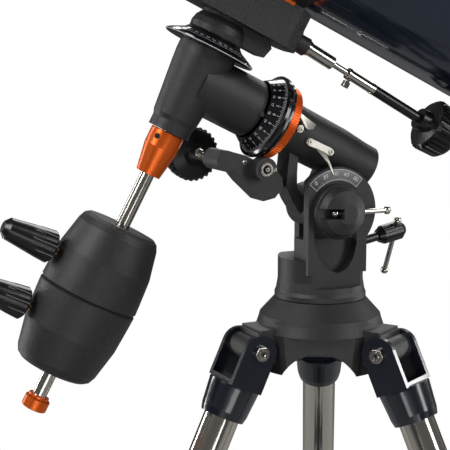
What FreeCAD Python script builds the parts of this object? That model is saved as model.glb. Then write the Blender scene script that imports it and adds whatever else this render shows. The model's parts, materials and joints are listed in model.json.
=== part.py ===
import FreeCAD, Part
import math
import os
import re

import Sketcher
from FreeCAD import Placement, Rotation, Vector

# Telescope on a German equatorial mount and a three-legged tripod, millimetres, +Z up.
# The origin is on the floor under the tripod's vertical axis, the rear leg points along +Y.

os.makedirs("parts", exist_ok=True)
doc = FreeCAD.newDocument("telescope_on_tripod")
sheet = doc.addObject("Spreadsheet::Sheet", "size")

SIZES = {
    # pose of the axes as the telescope stands, degrees
    "azimuth_angle": 208.6, "latitude_angle": 26.2, "ra_roll": -5.84, "dec_roll": -2.55,
    # clearances
    "running_gap": 0.05, "face_gap": 0.3, "loose_gap": 0.5,
    # tripod head
    "hub_top_radius": 41, "hub_shoulder_radius": 54, "hub_shoulder_drop": 14.4,
    "hub_skirt_radius": 58, "hub_skirt_drop": 27, "hub_depth": 62, "hub_hollow_radius": 33,
    "hub_roof": 20, "hub_arch_radius": 36, "hub_arch_drop": 78,
    "hinge_radius": 71, "hinge_drop": 40.5, "lug_width": 36, "lug_end_radius": 12,
    "lug_root_radius": 20,
    # legs
    "leg_splay": 24.5, "bracket_width": 46, "bracket_end_radius": 15.5, "bracket_length": 64,
    "bracket_slot_depth": 30, "socket_radius": 19.5, "hinge_bolt_radius": 4,
    "hinge_head_radius": 6.5, "hinge_head_height": 3.5,
    "leg_tube_radius": 15.875, "leg_tube_wall": 1.2, "leg_tube_start": 34, "leg_tube_length": 540,
    "collar_radius": 20, "collar_length": 46, "collar_overlap": 24, "clamp_boss_radius": 9,
    "clamp_boss_reach": 28, "clamp_screw_radius": 3, "clamp_grip_radius": 14,
    "clamp_grip_height": 16,
    "lower_leg_radius": 13.5, "lower_leg_wall": 1.5, "lower_leg_hidden": 200,
    "leg_reach": 800, "hub_height": "=leg_reach * cos(leg_splay) + hinge_drop", "foot_radius": 19, "foot_height": 34, "foot_sole_radius": 12,
    # leg brace and tray
    "brace_lug_reach": 28, "brace_lug_width": 8, "brace_pin_radius": 2.5, "brace_eye_radius": 6,
    "arm_length": 285, "arm_width": 8, "arm_depth": 10, "brace_pin_circle": 30,
    "brace_core_radius": 9, "brace_plate_radius": 38, "brace_plate_thickness": 4,
    "brace_fork_gap": "=arm_width + 2 * face_gap", "brace_fork_wall": 4, "tray_radius": 112, "tray_thickness": 3,
    "tray_lip": 7, "tray_notch_radius": 46, "tray_notch_width": 60, "eyepiece_hole_radius": 16,
    "eyepiece_hole_circle": 82, "tray_core_radius": 30, "tray_screw_radius": 7,
    # mount base
    "base_rim_radius": 40.8, "base_rim_height": 5, "base_radius": 38, "base_height": 37,
    "cheek_outer": 29.5, "cheek_inner": 20.5, "pivot_height": 80.2, "ear_radius": 38.5,
    "cheek_front": 28, "cheek_back": 30, "far_ear_radius": 20,
    "far_cheek_front": 11, "far_cheek_back": 20, "post_inner": 3, "post_height": 55, "recess_low": 25, "recess_high": 68,
    "recess_front": 22, "recess_back": 20, "recess_depth": 9,
    "clamp_bolt_radius": 4.5, "azimuth_knob_radius": 17, "azimuth_knob_height": 22,
    # latitude lock and screw
    "axle_radius": 6, "cap_radius": 24.4, "cap_collar": 7, "cap_height": 20, "cap_face_radius": 9,
    "cap_slope_radius": 19, "cap_slot_width": 9, "cap_slot_start": 4, "bar_radius": 2.2, "bar_ball_radius": 3.7,
    "lock_bar_length": 59, "lock_bar_shift": 17, "lock_bar_height": 12, "nut_radius": 10,
    "screw_height": 38, "screw_start": 20, "screw_tilt": 11.6, "screw_radius": 4,
    "screw_head_start": 60, "screw_head_length": 28, "screw_head_radius": 8.7, "facet_rise": 0.6,
    "screw_bar_length": 74, "screw_bar_roll": 36, "screw_bar_place": 79,
    # polar housing, RA axis and its dial
    "ra_offset": 49, "dec_distance": 160, "housing_radius": 22.3, "housing_neck_radius": 24,
    "housing_low": -27, "housing_round": 7, "housing_bore": 15,
    "pivot_disc_radius": 20, "pivot_half_width": 20.2, "gusset_half_width": 14,
    "web_half_width": 11, "web_thickness": 9,
    "ring_far": 70, "housing_high": "=ring_far - face_gap", "ring_near": 78.5, "ring_radius": 33.5, "ring_rib_count": 90,
    "dial_near": 99, "dial_rim_radius": 37.6, "dial_rim_band": 3, "dial_neck_radius": 27.5,
    "ra_shaft_radius": 12, "ra_wheel_radius": 20.5, "ra_wheel_width": 10, "ra_wheel_place": 40,
    "wheel_teeth": 60,
    "worm_x": 108, "worm_z": -2, "worm_radius": 5, "worm_half_length": 9, "worm_shaft_radius": 4.8,
    "block_top": 9.5, "block_half_width": 13, "worm_boss_radius": 9, "tension_boss_radius": 10,
    "tension_boss_x": 76, "tension_boss_z": 5.5,
    "ra_knob_near": 46, "ra_knob_far": 76, "knob_radius": 24.5, "knob_rib_count": 28,
    # declination housing, dial and saddle
    "dec_body_radius": 25, "dec_neck_radius": 18.2, "dec_body_top": 27, "dec_body_neck": -36,
    "dec_body_low": -49, "arm_radius": 25.7, "arm_end": -61, "dec_bore": 12.5,
    "dec_dial_low": 26.8, "dec_dial_rim": 40, "dec_dial_top": 39.5, "dec_dial_neck": 23.5,
    "dome_top": 57, "dome_radius": 24, "dec_shaft_radius": 12, "dec_shaft_low": -30,
    "stop_block_reach": 46, "stop_block_low": 42, "stop_block_half_width": 12,
    "saddle_low": 57.3, "saddle_high": 96, "saddle_half_width": 28, "saddle_front": 50,
    "saddle_back": 66, "saddle_corner": 16, "bar_half_width": 20, "bar_low": 76, "bar_end": 44,
    "dec_wheel_radius": 19, "dec_wheel_low": 60, "dec_wheel_width": 9,
    "dec_worm_z": 68.5, "dec_boss_radius": 8.5, "dec_boss_end": 78, "cable_droop": 3.2,
    "sleeve_radius": 5.8, "sleeve_end": 107, "link_radius": 2.7, "coupling_start": 124,
    "coupling_radius": 4.6, "coupling_end": 154, "cable_radius": 4.4, "dec_knob_near": 207,
    "dec_knob_far": 242,
    # counterweight
    "weight_collar_top": -50, "weight_collar_band": -64,
    "collar_hole_radius": 2.5, "collar_hole_turn": 49, "weight_collar_low": -88, "weight_collar_radius": 14.6, "weight_collar_end_radius": 10.6,
    "rod_radius": 6, "weight_top": -137, "weight_seam": -202, "weight_low": -271,
    "weight_radius": 43.2, "weight_end_radius": 35, "weight_round": 5,
    "cap_top": -299, "cap_low": -309, "end_cap_radius": 11, "washer_radius": 9,
    "washer_thickness": 2, "rod_low": -303,
    "weight_screw_radius": 3.5, "weight_knob_reach": 93,
    "weight_knob_start": 47, "weight_knob_inner_radius": 14.2, "weight_knob_outer_radius": 9.3,
    "upper_screw_place": -177, "lower_screw_place": -229,
    "weight_knob_flutes": 10,
    # optical tube
    "tube_radius": 80, "tube_wall": 1.2, "tube_axis_height": 172.5, "tube_front": 335,
    "tube_back": -285, "ring_wall": 4.5, "ring_width": 24, "front_ring_place": 30,
    "back_ring_place": -38, "rim_proud": 3.5, "front_rim_length": 16, "front_rim_opening": 74,
    "cell_length": 34, "cell_floor": 6, "mirror_radius": 65, "mirror_thickness": 19,
    "mirror_gap": 8, "spider_place": 262, "vane_thickness": 1.2, "vane_depth": 16,
    "secondary_radius": 18, "secondary_length": 34, "secondary_rim": 2,
    "focuser_turn": -35, "focuser_base_radius": 34, "focuser_height": 42, "focuser_radius": 27,
    "draw_radius": 21, "draw_bore": 15.95, "draw_length": 78, "draw_out": 24,
    "focus_shaft_radius": 2.5, "focus_knob_radius": 12, "focus_knob_reach": 40,
    "focus_knob_width": 12, "focus_shaft_height": 20,
    "eyepiece_barrel_radius": 15.875, "eyepiece_barrel_length": 24, "eyepiece_body_radius": 18,
    "eyepiece_body_length": 34, "finder_turn": 25, "finder_radius": 16, "finder_length": 120,
    "finder_height": 44, "finder_place": 215, "finder_bell_radius": 20, "finder_foot_width": 18,
    "stud_radius": 3.175, "stud_length": 12,
}
for row, (alias, number) in enumerate(SIZES.items(), start=1):
    sheet.set(f"A{row}", alias)
    sheet.set(f"B{row}", str(number))
    sheet.setAlias(f"B{row}", alias)
doc.recompute()

ALIAS = re.compile(r"\b(" + "|".join(sorted(SIZES, key=len, reverse=True)) + r")\b")


def size(text):
    """The value of a formula of the sheet's names."""
    return float(sheet.evalExpression(ALIAS.sub(lambda found: "size." + found.group(1), str(text))))


def bind(item, name, text):
    """Ties a property to a formula of the sheet's names."""
    item.setExpression(name, ALIAS.sub(lambda found: "size." + found.group(1), str(text)))


# ---------------------------------------------------------------- building blocks


def sketch_of(body, role, corners):
    """A closed outline on one of the body's own planes, each corner tied to its formulas."""
    sketch = body.newObject("Sketcher::SketchObject", body.Name + "_outline")
    plane = [feature for feature in body.Origin.OriginFeatures if feature.Role == role][0]
    sketch.AttachmentSupport = (plane, [""])
    sketch.MapMode = "FlatFace"
    places = [Vector(size(across), size(along), 0) for across, along in corners]
    last = len(places) - 1
    for index, place in enumerate(places):
        sketch.addGeometry(Part.LineSegment(place, places[0 if index == last else index + 1]), False)
    for index in range(len(places)):
        following = 0 if index == last else index + 1
        sketch.addConstraint(Sketcher.Constraint("Coincident", index, 2, following, 1))
    for index, corner in enumerate(corners):
        for kind, text, value in zip(("DistanceX", "DistanceY"), corner, places[index]):
            number = sketch.addConstraint(Sketcher.Constraint(kind, -1, 1, index, 1, value))
            bind(sketch, f"Constraints[{number}]", text)
    return sketch


def turned(corners):
    """A body turned about its own Z axis from (radius, height) corners."""
    body = doc.addObject("PartDesign::Body", "turned")
    sketch = sketch_of(body, "XZ_Plane", corners)
    turn = body.newObject("PartDesign::Revolution", body.Name + "_turn")
    turn.Profile = sketch
    turn.ReferenceAxis = (sketch, ["V_Axis"])
    turn.Angle = 360
    sketch.Visibility = False
    return body


def padded(corners, low, high):
    """A plate of an (x, y) outline between two heights."""
    body = doc.addObject("PartDesign::Body", "plate")
    sketch = sketch_of(body, "XY_Plane", corners)
    pad = body.newObject("PartDesign::Pad", body.Name + "_pad")
    pad.Profile = sketch
    bind(pad, "Length", f"({high}) - ({low})")
    bind(sketch, "AttachmentOffset.Base.z", low)
    return body


def block(x_low, x_high, y_low, y_high, z_low, z_high):
    item = doc.addObject("Part::Box", "block")
    bind(item, "Length", f"({x_high}) - ({x_low})")
    bind(item, "Width", f"({y_high}) - ({y_low})")
    bind(item, "Height", f"({z_high}) - ({z_low})")
    for letter, text in zip("xyz", (x_low, y_low, z_low)):
        bind(item, f"Placement.Base.{letter}", text)
    return item


TURN_TO = {
    "x": Rotation(Vector(0, 1, 0), 90),
    "y": Rotation(Vector(1, 0, 0), -90),
    "z": Rotation(),
}


def rod(radius, low, high, axis="z", x="0", y="0", z="0"):
    """A cylinder along an axis from low to high; the other two places come from x, y and z."""
    item = doc.addObject("Part::Cylinder", "rod")
    bind(item, "Radius", radius)
    bind(item, "Height", f"({high}) - ({low})")
    item.Placement = Placement(Vector(), TURN_TO[axis])
    for letter, text in zip("xyz", (x, y, z)):
        bind(item, f"Placement.Base.{letter}", low if letter == axis else text)
    return item


def ball(radius, x="0", y="0", z="0"):
    item = doc.addObject("Part::Sphere", "ball")
    bind(item, "Radius", radius)
    for letter, text in zip("xyz", (x, y, z)):
        bind(item, f"Placement.Base.{letter}", text)
    return item


def fused(*pieces):
    item = doc.addObject("Part::MultiFuse", "joined")
    item.Shapes = list(pieces)
    item.Refine = True
    return item


def grouped(*pieces):
    item = doc.addObject("Part::Compound", "group")
    item.Links = list(pieces)
    return item


def cut(base, *tools):
    item = doc.addObject("Part::Cut", "trimmed")
    item.Base = base
    item.Tool = tools[0] if len(tools) == 1 else grouped_fuse(tools)
    item.Refine = True
    return item


def grouped_fuse(tools):
    item = doc.addObject("Part::MultiFuse", "tools")
    item.Shapes = list(tools)
    return item


def common(base, tool):
    item = doc.addObject("Part::Common", "shared")
    item.Base = base
    item.Tool = tool
    return item


def moved(item, placement):
    """The same piece at another place, in a group of one so that its own place stays bound."""
    holder = grouped(item)
    holder.Placement = placement
    return holder


def toothed(count, outer, root, low, high):
    """A prism with evenly spaced ribs, made from its outline."""
    outer_radius = size(outer)
    root_radius = size(root)
    step = 2 * math.pi / count
    points = []
    for tooth in range(count):
        for share, radius in ((0.0, root_radius), (0.22, outer_radius), (0.5, outer_radius), (0.72, root_radius)):
            angle = (tooth + share) * step
            points.append(Vector(radius * math.cos(angle), radius * math.sin(angle), size(low)))
    points.append(points[0])
    item = doc.addObject("Part::Feature", "ribs")
    item.Shape = Part.Face(Part.makePolygon(points)).extrude(Vector(0, 0, size(f"({high}) - ({low})")))
    return item


def shift(x="0", y="0", z="0"):
    return Placement(Vector(size(x), size(y), size(z)), Rotation())


def spin(axis, degrees):
    return Placement(Vector(), Rotation(axis, size(degrees)))


X = Vector(1, 0, 0)
Y = Vector(0, 1, 0)
Z = Vector(0, 0, 1)
ALONG_X = Placement(Vector(), TURN_TO["x"])
ALONG_Y = Placement(Vector(), TURN_TO["y"])

# ---------------------------------------------------------------- frames
# Each frame carries the next: tripod head, azimuth, polar axis, right ascension, declination.

SIDES = {"left": 210, "right": 330, "rear": 90}
hub = shift(z="hub_height")
leg_frames = {
    side: hub.multiply(spin(Z, turn)).multiply(shift(x="hinge_radius", z="-hinge_drop")).multiply(
        spin(Y, "-leg_splay"))
    for side, turn in SIDES.items()
}
azimuth = hub.multiply(spin(Z, "azimuth_angle"))
pivot = azimuth.multiply(shift(z="pivot_height"))
polar = pivot.multiply(spin(Y, "-latitude_angle"))
ra_still = polar.multiply(shift(x="dec_distance", z="ra_offset"))
ra = ra_still.multiply(spin(X, "ra_roll"))
dec = ra.multiply(spin(Z, "dec_roll"))
optics = dec.multiply(shift(z="tube_axis_height"))
screw_axis = azimuth.multiply(shift(z="screw_height")).multiply(spin(Y, "180 + screw_tilt"))
dec_cable_frame = dec.multiply(shift(x="-dec_boss_end", z="dec_worm_z")).multiply(
    spin(Y, "-cable_droop"))
focuser = optics.multiply(shift(x="spider_place")).multiply(spin(X, "focuser_turn")).multiply(
    shift(z="tube_radius"))
finder_frame = optics.multiply(shift(x="finder_place")).multiply(spin(X, "finder_turn")).multiply(
    shift(z="tube_radius"))

parts = {}


def keep(name, item, frame):
    """Gives a sub-part its name and its place in the model."""
    part = moved(item, frame)
    part.Label = name
    parts[name] = part


# ---------------------------------------------------------------- tripod head


def hinge_lug(turn):
    """One lug of the tripod head, which the leg's bracket straddles."""
    arm = block("hub_top_radius - lug_root_radius", "hinge_radius", "-lug_width / 2", "lug_width / 2",
                "-hinge_drop - lug_end_radius", "-hub_skirt_drop + 3")
    end = rod("lug_end_radius", "-lug_width / 2", "lug_width / 2", "y", x="hinge_radius", z="-hinge_drop")
    shoulder = block("hub_top_radius", "hinge_radius - 2", "-lug_width / 2", "lug_width / 2",
                     "-hinge_drop", "-hub_skirt_drop + 5")
    bore = rod("hinge_bolt_radius", "-lug_width", "lug_width", "y", x="hinge_radius", z="-hinge_drop")
    return moved(cut(fused(arm, end, shoulder), bore), spin(Z, turn))


def tripod_hub():
    cone = turned([("0", "0"), ("hub_top_radius", "0"), ("hub_shoulder_radius", "-hub_shoulder_drop"),
                   ("hub_shoulder_radius + 1", "-hub_shoulder_drop - 4"),
                   ("hub_skirt_radius", "-hub_skirt_drop"), ("hub_skirt_radius - 2", "-hub_depth"),
                   ("0", "-hub_depth")])
    hollow = rod("hub_hollow_radius", "-hub_depth - 1", "-hub_roof")
    arches = [moved(rod("hub_arch_radius", "0", "hinge_radius * 2", "x", z="-hub_arch_drop"), spin(Z, turn + 180))
              for turn in SIDES.values()]
    flats = [moved(block("hub_skirt_radius - 9", "hinge_radius * 2", "-hinge_radius", "hinge_radius",
                         "-hub_depth - 1", "-hub_skirt_drop"), spin(Z, turn + 180))
             for turn in SIDES.values()]
    shell = cut(cone, hollow, *arches, *flats)
    lugs = [hinge_lug(turn) for turn in SIDES.values()]
    bolt_hole = rod("clamp_bolt_radius + loose_gap", "-hub_depth", "1")
    return cut(fused(shell, *lugs), bolt_hole, rod("hub_hollow_radius", "-hub_depth - 1", "-hub_roof"))


keep("tripod_hub", tripod_hub(), hub)


def hinge_bolt(turn):
    half = "bracket_width / 2 + face_gap"
    pieces = [rod("hinge_bolt_radius", f"-({half})", half, "y")]
    for low, high in ((f"-({half}) - hinge_head_height", f"-({half})"), (half, f"{half} + hinge_head_height")):
        pieces.append(rod("hinge_head_radius", low, high, "y"))
    return moved(fused(*pieces), spin(Z, turn).multiply(shift(x="hinge_radius", z="-hinge_drop")))


keep("leg_hinge_bolts", grouped(*[hinge_bolt(turn) for turn in SIDES.values()]), hub)

clamp_knob = common(
    turned([("0", "-hub_roof - face_gap"), ("azimuth_knob_radius - 4", "-hub_roof - face_gap"),
            ("azimuth_knob_radius", "-hub_roof - 5"),
            ("azimuth_knob_radius", "-hub_roof - azimuth_knob_height + 3"),
            ("azimuth_knob_radius - 3", "-hub_roof - azimuth_knob_height"),
            ("0", "-hub_roof - azimuth_knob_height")]),
    toothed(12, "azimuth_knob_radius", "azimuth_knob_radius - 2", "-hub_roof - azimuth_knob_height",
            "-hub_roof - face_gap"))
keep("azimuth_clamp_knob", fused(clamp_knob, rod("clamp_bolt_radius", "-hub_roof - 2", "14")), hub)

# ---------------------------------------------------------------- legs
# A leg's frame has its origin on the hinge and its Z axis up along the leg.


def leg_fittings():
    """The hinge bracket at the top and the clamp collar at the bottom of a leg's tube."""
    side_profile = fused(
        rod("bracket_end_radius", "-bracket_width / 2", "bracket_width / 2", "y"),
        block("-bracket_end_radius", "bracket_end_radius", "-bracket_width / 2", "bracket_width / 2",
              "-bracket_slot_depth - 4", "0"),
        rod("bracket_width / 2", "-bracket_slot_depth - 6", "-bracket_slot_depth - 3.9"),
        turned([("0", "-bracket_slot_depth - 5"), ("bracket_width / 2", "-bracket_slot_depth - 5"),
                ("socket_radius + 1.5", "-bracket_length + 6"), ("socket_radius", "-bracket_length"),
                ("0", "-bracket_length")]))
    slot = block("-bracket_width", "bracket_width", "-lug_width / 2 - face_gap", "lug_width / 2 + face_gap",
                 "-bracket_slot_depth", "bracket_width")
    swing = rod("lug_end_radius + 6", "-lug_width / 2 - face_gap", "lug_width / 2 + face_gap", "y")
    hinge = rod("hinge_bolt_radius + running_gap", "-bracket_width", "bracket_width", "y")
    socket = rod("leg_tube_radius", "-bracket_length - 1", "-leg_tube_start")
    bracket = cut(side_profile, slot, swing, hinge, socket)
    low = "-leg_tube_start - leg_tube_length"
    ring = rod("collar_radius", f"{low} + collar_overlap - collar_length", f"{low} + collar_overlap")
    boss = rod("clamp_boss_radius", "0", "clamp_boss_reach", "x", z=f"{low} - 11")
    lug = block("-brace_lug_reach - brace_eye_radius", "0", "-brace_lug_width / 2", "brace_lug_width / 2",
                f"{low} + 4", f"{low} + 4 + 2 * brace_eye_radius")
    seat = rod("leg_tube_radius", low, f"{low} + collar_length")
    slide = rod("lower_leg_radius + running_gap", f"{low} - collar_length", f"{low} + 1")
    thread = rod("clamp_screw_radius + running_gap", "lower_leg_radius - 1", "clamp_boss_reach + 1", "x",
                 z=f"{low} - 11")
    pin_hole = rod("brace_pin_radius", "-brace_lug_width", "brace_lug_width", "y", x="-brace_lug_reach",
                   z=f"{low} + 4 + brace_eye_radius")
    pin = rod("brace_pin_radius", "-brace_lug_width / 2 - 2 * arm_width", "brace_lug_width / 2 + 2 * arm_width",
              "y", x="-brace_lug_reach", z=f"{low} + 4 + brace_eye_radius")
    collar = cut(fused(ring, boss, lug), seat, slide, thread, pin_hole)
    pin_cut = common(pin, block("-brace_lug_reach - 9", "0", "-brace_lug_width / 2 - arm_width / 2 - 1.5",
                                "brace_lug_width / 2 + arm_width / 2 + 1.5", f"{low} - 20", f"{low} + 40"))
    return grouped(bracket, fused(collar, pin_cut))


def leg_tube():
    low = "-leg_tube_start - leg_tube_length"
    return cut(rod("leg_tube_radius", low, "-leg_tube_start"),
               rod("leg_tube_radius - leg_tube_wall", f"{low} - 1", "-leg_tube_start + 1"))


def lower_leg():
    """The tube that slides in the leg, from inside the foot to well inside the upper tube."""
    low = "-leg_reach"
    top = "-leg_tube_start - leg_tube_length + lower_leg_hidden"
    return cut(rod("lower_leg_radius", f"{low} + foot_height - 8", top),
               rod("lower_leg_radius - lower_leg_wall", f"{low} + foot_height - 9", f"{top} + 1"))


def foot():
    """The rubber foot, before its underside is trimmed level."""
    low = "-leg_reach"
    return turned([("0", f"{low} - foot_sole_radius"), ("foot_sole_radius", f"{low} - foot_sole_radius"),
                   ("foot_radius", f"{low} + 4"), ("foot_radius", f"{low} + 10"),
                   ("lower_leg_radius + 2", f"{low} + 14"), ("lower_leg_radius + 2", f"{low} + foot_height"),
                   ("lower_leg_radius", f"{low} + foot_height"),
                   ("lower_leg_radius", f"{low} + foot_height - 8"), ("0", f"{low} + foot_height - 8")])


def clamp_screw():
    """The thumbscrew that locks a leg's length."""
    low = "-leg_tube_start - leg_tube_length - 11"
    grip = common(
        turned([("0", "clamp_boss_reach + face_gap"), ("clamp_grip_radius - 4", "clamp_boss_reach + face_gap"),
                ("clamp_grip_radius", "clamp_boss_reach + 5"),
                ("clamp_grip_radius", "clamp_boss_reach + clamp_grip_height - 2"),
                ("clamp_grip_radius - 2", "clamp_boss_reach + clamp_grip_height"),
                ("0", "clamp_boss_reach + clamp_grip_height")]),
        toothed(7, "clamp_grip_radius", "clamp_grip_radius - 4", "clamp_boss_reach + face_gap",
                "clamp_boss_reach + clamp_grip_height"))
    shank = rod("clamp_screw_radius", "lower_leg_radius + face_gap", "clamp_boss_reach + 3")
    return moved(fused(grip, shank), Placement(Vector(0, 0, size(low)), TURN_TO["x"]))


# The brace: its pins stand on a circle round the tripod's axis, and the arms reach the collars.
splay = math.radians(size("leg_splay"))
collar_along = size("leg_tube_start + leg_tube_length - 4 - brace_eye_radius")
eye_radius = (size("hinge_radius") + collar_along * math.sin(splay)
              - size("brace_lug_reach") * math.cos(splay))
eye_height = (size("hub_height - hinge_drop") - collar_along * math.cos(splay)
              - size("brace_lug_reach") * math.sin(splay))
arm_rise = math.acos((eye_radius - size("brace_pin_circle")) / size("arm_length"))
brace_height = eye_height + size("arm_length") * math.sin(arm_rise)
brace_frame = Placement(Vector(0, 0, brace_height), Rotation())


def brace_arm():
    """A strut from the collar's eye at its origin, along its own X axis, with a fork at each end."""
    bar = block("0", "arm_length", "-arm_width / 2", "arm_width / 2", "-arm_depth / 2", "arm_depth / 2")
    fork = fused(*[block("-brace_eye_radius", "brace_eye_radius + 6", low, high, "-brace_eye_radius",
                         "brace_eye_radius")
                   for low, high in (("-brace_lug_width / 2 - face_gap - 3", "-brace_lug_width / 2 - face_gap"),
                                     ("brace_lug_width / 2 + face_gap", "brace_lug_width / 2 + face_gap + 3"))])
    yoke = block("brace_eye_radius + 3", "brace_eye_radius + 14", "-brace_lug_width / 2 - face_gap - 3",
                 "brace_lug_width / 2 + face_gap + 3", "-arm_depth / 2", "arm_depth / 2")
    clear = block("-brace_eye_radius - 1", "brace_eye_radius + 3", "-brace_lug_width / 2 - face_gap",
                  "brace_lug_width / 2 + face_gap", "-arm_depth", "arm_depth")
    eye = rod("brace_pin_radius + running_gap", "-arm_width * 2", "arm_width * 2", "y")
    tip = rod("arm_depth / 2", "-arm_width / 2", "arm_width / 2", "y", x="arm_length")
    tip_hole = rod("brace_pin_radius + loose_gap", "-arm_width", "arm_width", "y", x="arm_length")
    return cut(fused(bar, fork, yoke, tip), clear, eye, tip_hole)


for side, turn in SIDES.items():
    frame = leg_frames[side]
    keep(f"leg_fittings_{side}", leg_fittings(), frame)
    keep(f"leg_tube_{side}", leg_tube(), frame)
    level = Placement(Vector(0, 0, 0), Rotation()).multiply(frame.inverse())
    floor = doc.addObject("Part::Feature", "above_floor")
    floor.Shape = Part.makeBox(4000, 4000, 4000, Vector(-2000, -2000, 0))
    floor.Placement = level
    keep(f"lower_leg_{side}", grouped(lower_leg(), common(foot(), floor)), frame)
    keep(f"leg_clamp_knob_{side}", clamp_screw(), frame)
    arm_frame = spin(Z, turn).multiply(Placement(Vector(eye_radius, 0, eye_height), Rotation(
        Vector(0, 1, 0), 180 + math.degrees(arm_rise))))
    keep(f"brace_arm_{side}", brace_arm(), arm_frame)


def brace_hub():
    """The centre of the brace, with three open forks for the arms' inner ends."""
    core = rod("brace_core_radius", "-14", "brace_plate_thickness + 6")
    plate = rod("brace_plate_radius", "8", "8 + brace_plate_thickness")
    walls = []
    for turn in SIDES.values():
        for low, high in (("-brace_fork_gap / 2 - brace_fork_wall", "-brace_fork_gap / 2"),
                          ("brace_fork_gap / 2", "brace_fork_gap / 2 + brace_fork_wall")):
            wall = block("4", "brace_plate_radius", low, high, "-8", "9")
            walls.append(moved(wall, spin(Z, turn)))
    gaps = [moved(block("brace_core_radius", "brace_plate_radius * 2", "-brace_fork_gap / 2",
                        "brace_fork_gap / 2", "-30", "8"), spin(Z, turn)) for turn in SIDES.values()]
    screw_hole = rod("4", "-20", "40")
    return cut(fused(core, plate, *walls), screw_hole, *gaps)


keep("brace_hub", brace_hub(), brace_frame)


def accessory_tray():
    """A three-lobed tray with an eyepiece hole in each lobe and a screw that holds it on the brace."""
    low = "8 + brace_plate_thickness"
    disc = turned([("0", low), ("tray_radius - 2", low), ("tray_radius", f"{low} + 2"),
                   ("tray_radius", f"{low} + tray_lip"), ("tray_radius - 3", f"{low} + tray_lip"),
                   ("tray_radius - 4", f"{low} + tray_thickness"), ("0", f"{low} + tray_thickness")])
    notches = [moved(block("tray_notch_radius", "tray_radius * 2", "-tray_notch_width / 2", "tray_notch_width / 2",
                           "0", "40"), spin(Z, turn)) for turn in SIDES.values()]
    holes = [moved(rod("eyepiece_hole_radius", "0", "40", x="eyepiece_hole_circle"), spin(Z, turn + 180))
             for turn in SIDES.values()]
    small_holes = [moved(rod("eyepiece_hole_radius / 2", "0", "40", x="tray_core_radius + 14"), spin(Z, turn + 180))
                   for turn in SIDES.values()]
    plate = cut(disc, *notches, *holes, *small_holes)
    grip = fused(rod("tray_screw_radius", f"{low} + tray_thickness", f"{low} + tray_thickness + 10"),
                 rod("tray_screw_radius + 4", f"{low} + tray_thickness + 4", f"{low} + tray_thickness + 10"),
                 rod("4 - running_gap", "-8", f"{low} + tray_thickness"))
    return fused(plate, grip)


keep("accessory_tray", accessory_tray(), brace_frame)

# ---------------------------------------------------------------- mount base and latitude


def azimuth_base():
    """The turning base, with two cheeks that carry the latitude pivot."""
    foot_ring = turned([("0", "0"), ("base_rim_radius - 0.8", "0"), ("base_rim_radius", "1"),
                        ("base_rim_radius", "base_rim_height"), ("base_radius + 1.5", "base_rim_height + 3"),
                        ("base_radius", "base_rim_height + 12"), ("base_radius", "base_height"),
                        ("0", "base_height")])
    pieces = [foot_ring]
    for low, high, front, back, radius in (
            ("cheek_inner", "cheek_outer", "cheek_front", "cheek_back", "ear_radius"),
            ("-cheek_outer", "-cheek_inner", "far_cheek_front", "far_cheek_back", "far_ear_radius")):
        post = block(f"-{back}", front, low, high, "base_height - 12", "pivot_height")
        ear = rod(radius, low, high, "y", z="pivot_height")
        trim = block("cheek_front", "ear_radius * 2", "-ear_radius * 2", "ear_radius * 2", "0",
                     "pivot_height * 2")
        pieces.append(cut(fused(post, ear), trim))
    pieces.append(block("-cheek_back", "cheek_front", "post_inner", "cheek_inner + 1", "base_height - 12",
                        "post_height"))
    flats = [block("-base_radius * 2", "base_radius * 2", low, high, "base_rim_height + 8", "base_height + 1")
             for low, high in (("cheek_outer", "base_radius * 2"), ("-base_radius * 2", "-cheek_outer"))]
    recess = padded([("-recess_back", "-recess_high"), ("recess_front", "-recess_high"),
                     ("recess_front", "-recess_low - 24"), ("recess_front - 7", "-recess_low - 11"),
                     ("6", "-recess_low - 3"), ("-3", "-recess_low"), ("-11", "-recess_low - 4"),
                     ("-17", "-recess_low - 13"), ("-recess_back", "-recess_low - 26")],
                    "cheek_outer - recess_depth - 1", "cheek_outer + 1")
    recess_near = moved(recess, spin(X, -90))
    hole = rod("axle_radius + running_gap", "-cheek_outer * 2", "cheek_outer * 2", "y", z="pivot_height")
    bolt = rod("clamp_bolt_radius + running_gap", "-1", "15")
    screw_way = moved(rod("screw_radius + running_gap", "screw_start - 4", "ear_radius * 2"),
                      azimuth.inverse().multiply(screw_axis).multiply(ALONG_X))
    bridge = block("-cheek_back", "-cheek_back + 9", "-cheek_inner - 1", "cheek_inner + 1", "base_height - 10",
                   "screw_height + 9")
    return cut(fused(*pieces, bridge), *flats, recess_near, hole, bolt, screw_way)


keep("azimuth_base", azimuth_base(), azimuth)


def latitude_lock():
    """The domed grip and the axle that clamps the two cheeks, with its nut on the far side."""
    low = "cheek_outer + face_gap"
    dome = turned([("0", low), ("cap_radius - 1", low), ("cap_radius", f"{low} + 1"),
                   ("cap_radius", f"{low} + cap_collar - 1"), ("cap_radius - 1", f"{low} + cap_collar"),
                   ("cap_radius - 1.4", f"{low} + cap_collar"), ("cap_radius - 1.6", f"{low} + cap_collar + 3"),
                   ("cap_slope_radius", f"{low} + cap_height - 5"), ("cap_face_radius", f"{low} + cap_height"),
                   ("0", f"{low} + cap_height")])
    slot = block("cap_slot_start", "cap_radius + 1", "-cap_slot_width / 2", "cap_slot_width / 2",
                 f"{low} + lock_bar_height - 5", f"{low} + cap_height + 1")
    way = rod("bar_radius + running_gap", "-cap_radius - 1", "cap_radius + 1", "x",
              z=f"{low} + lock_bar_height")
    axle = rod("axle_radius", "-cheek_outer - face_gap", f"{low} + 2")
    nut = rod("nut_radius", "-cheek_outer - face_gap - 6", "-cheek_outer - face_gap")
    return fused(cut(dome, slot, way), axle, nut)


lock_frame = pivot.multiply(ALONG_Y)
keep("latitude_lock", latitude_lock(), lock_frame)


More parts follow.
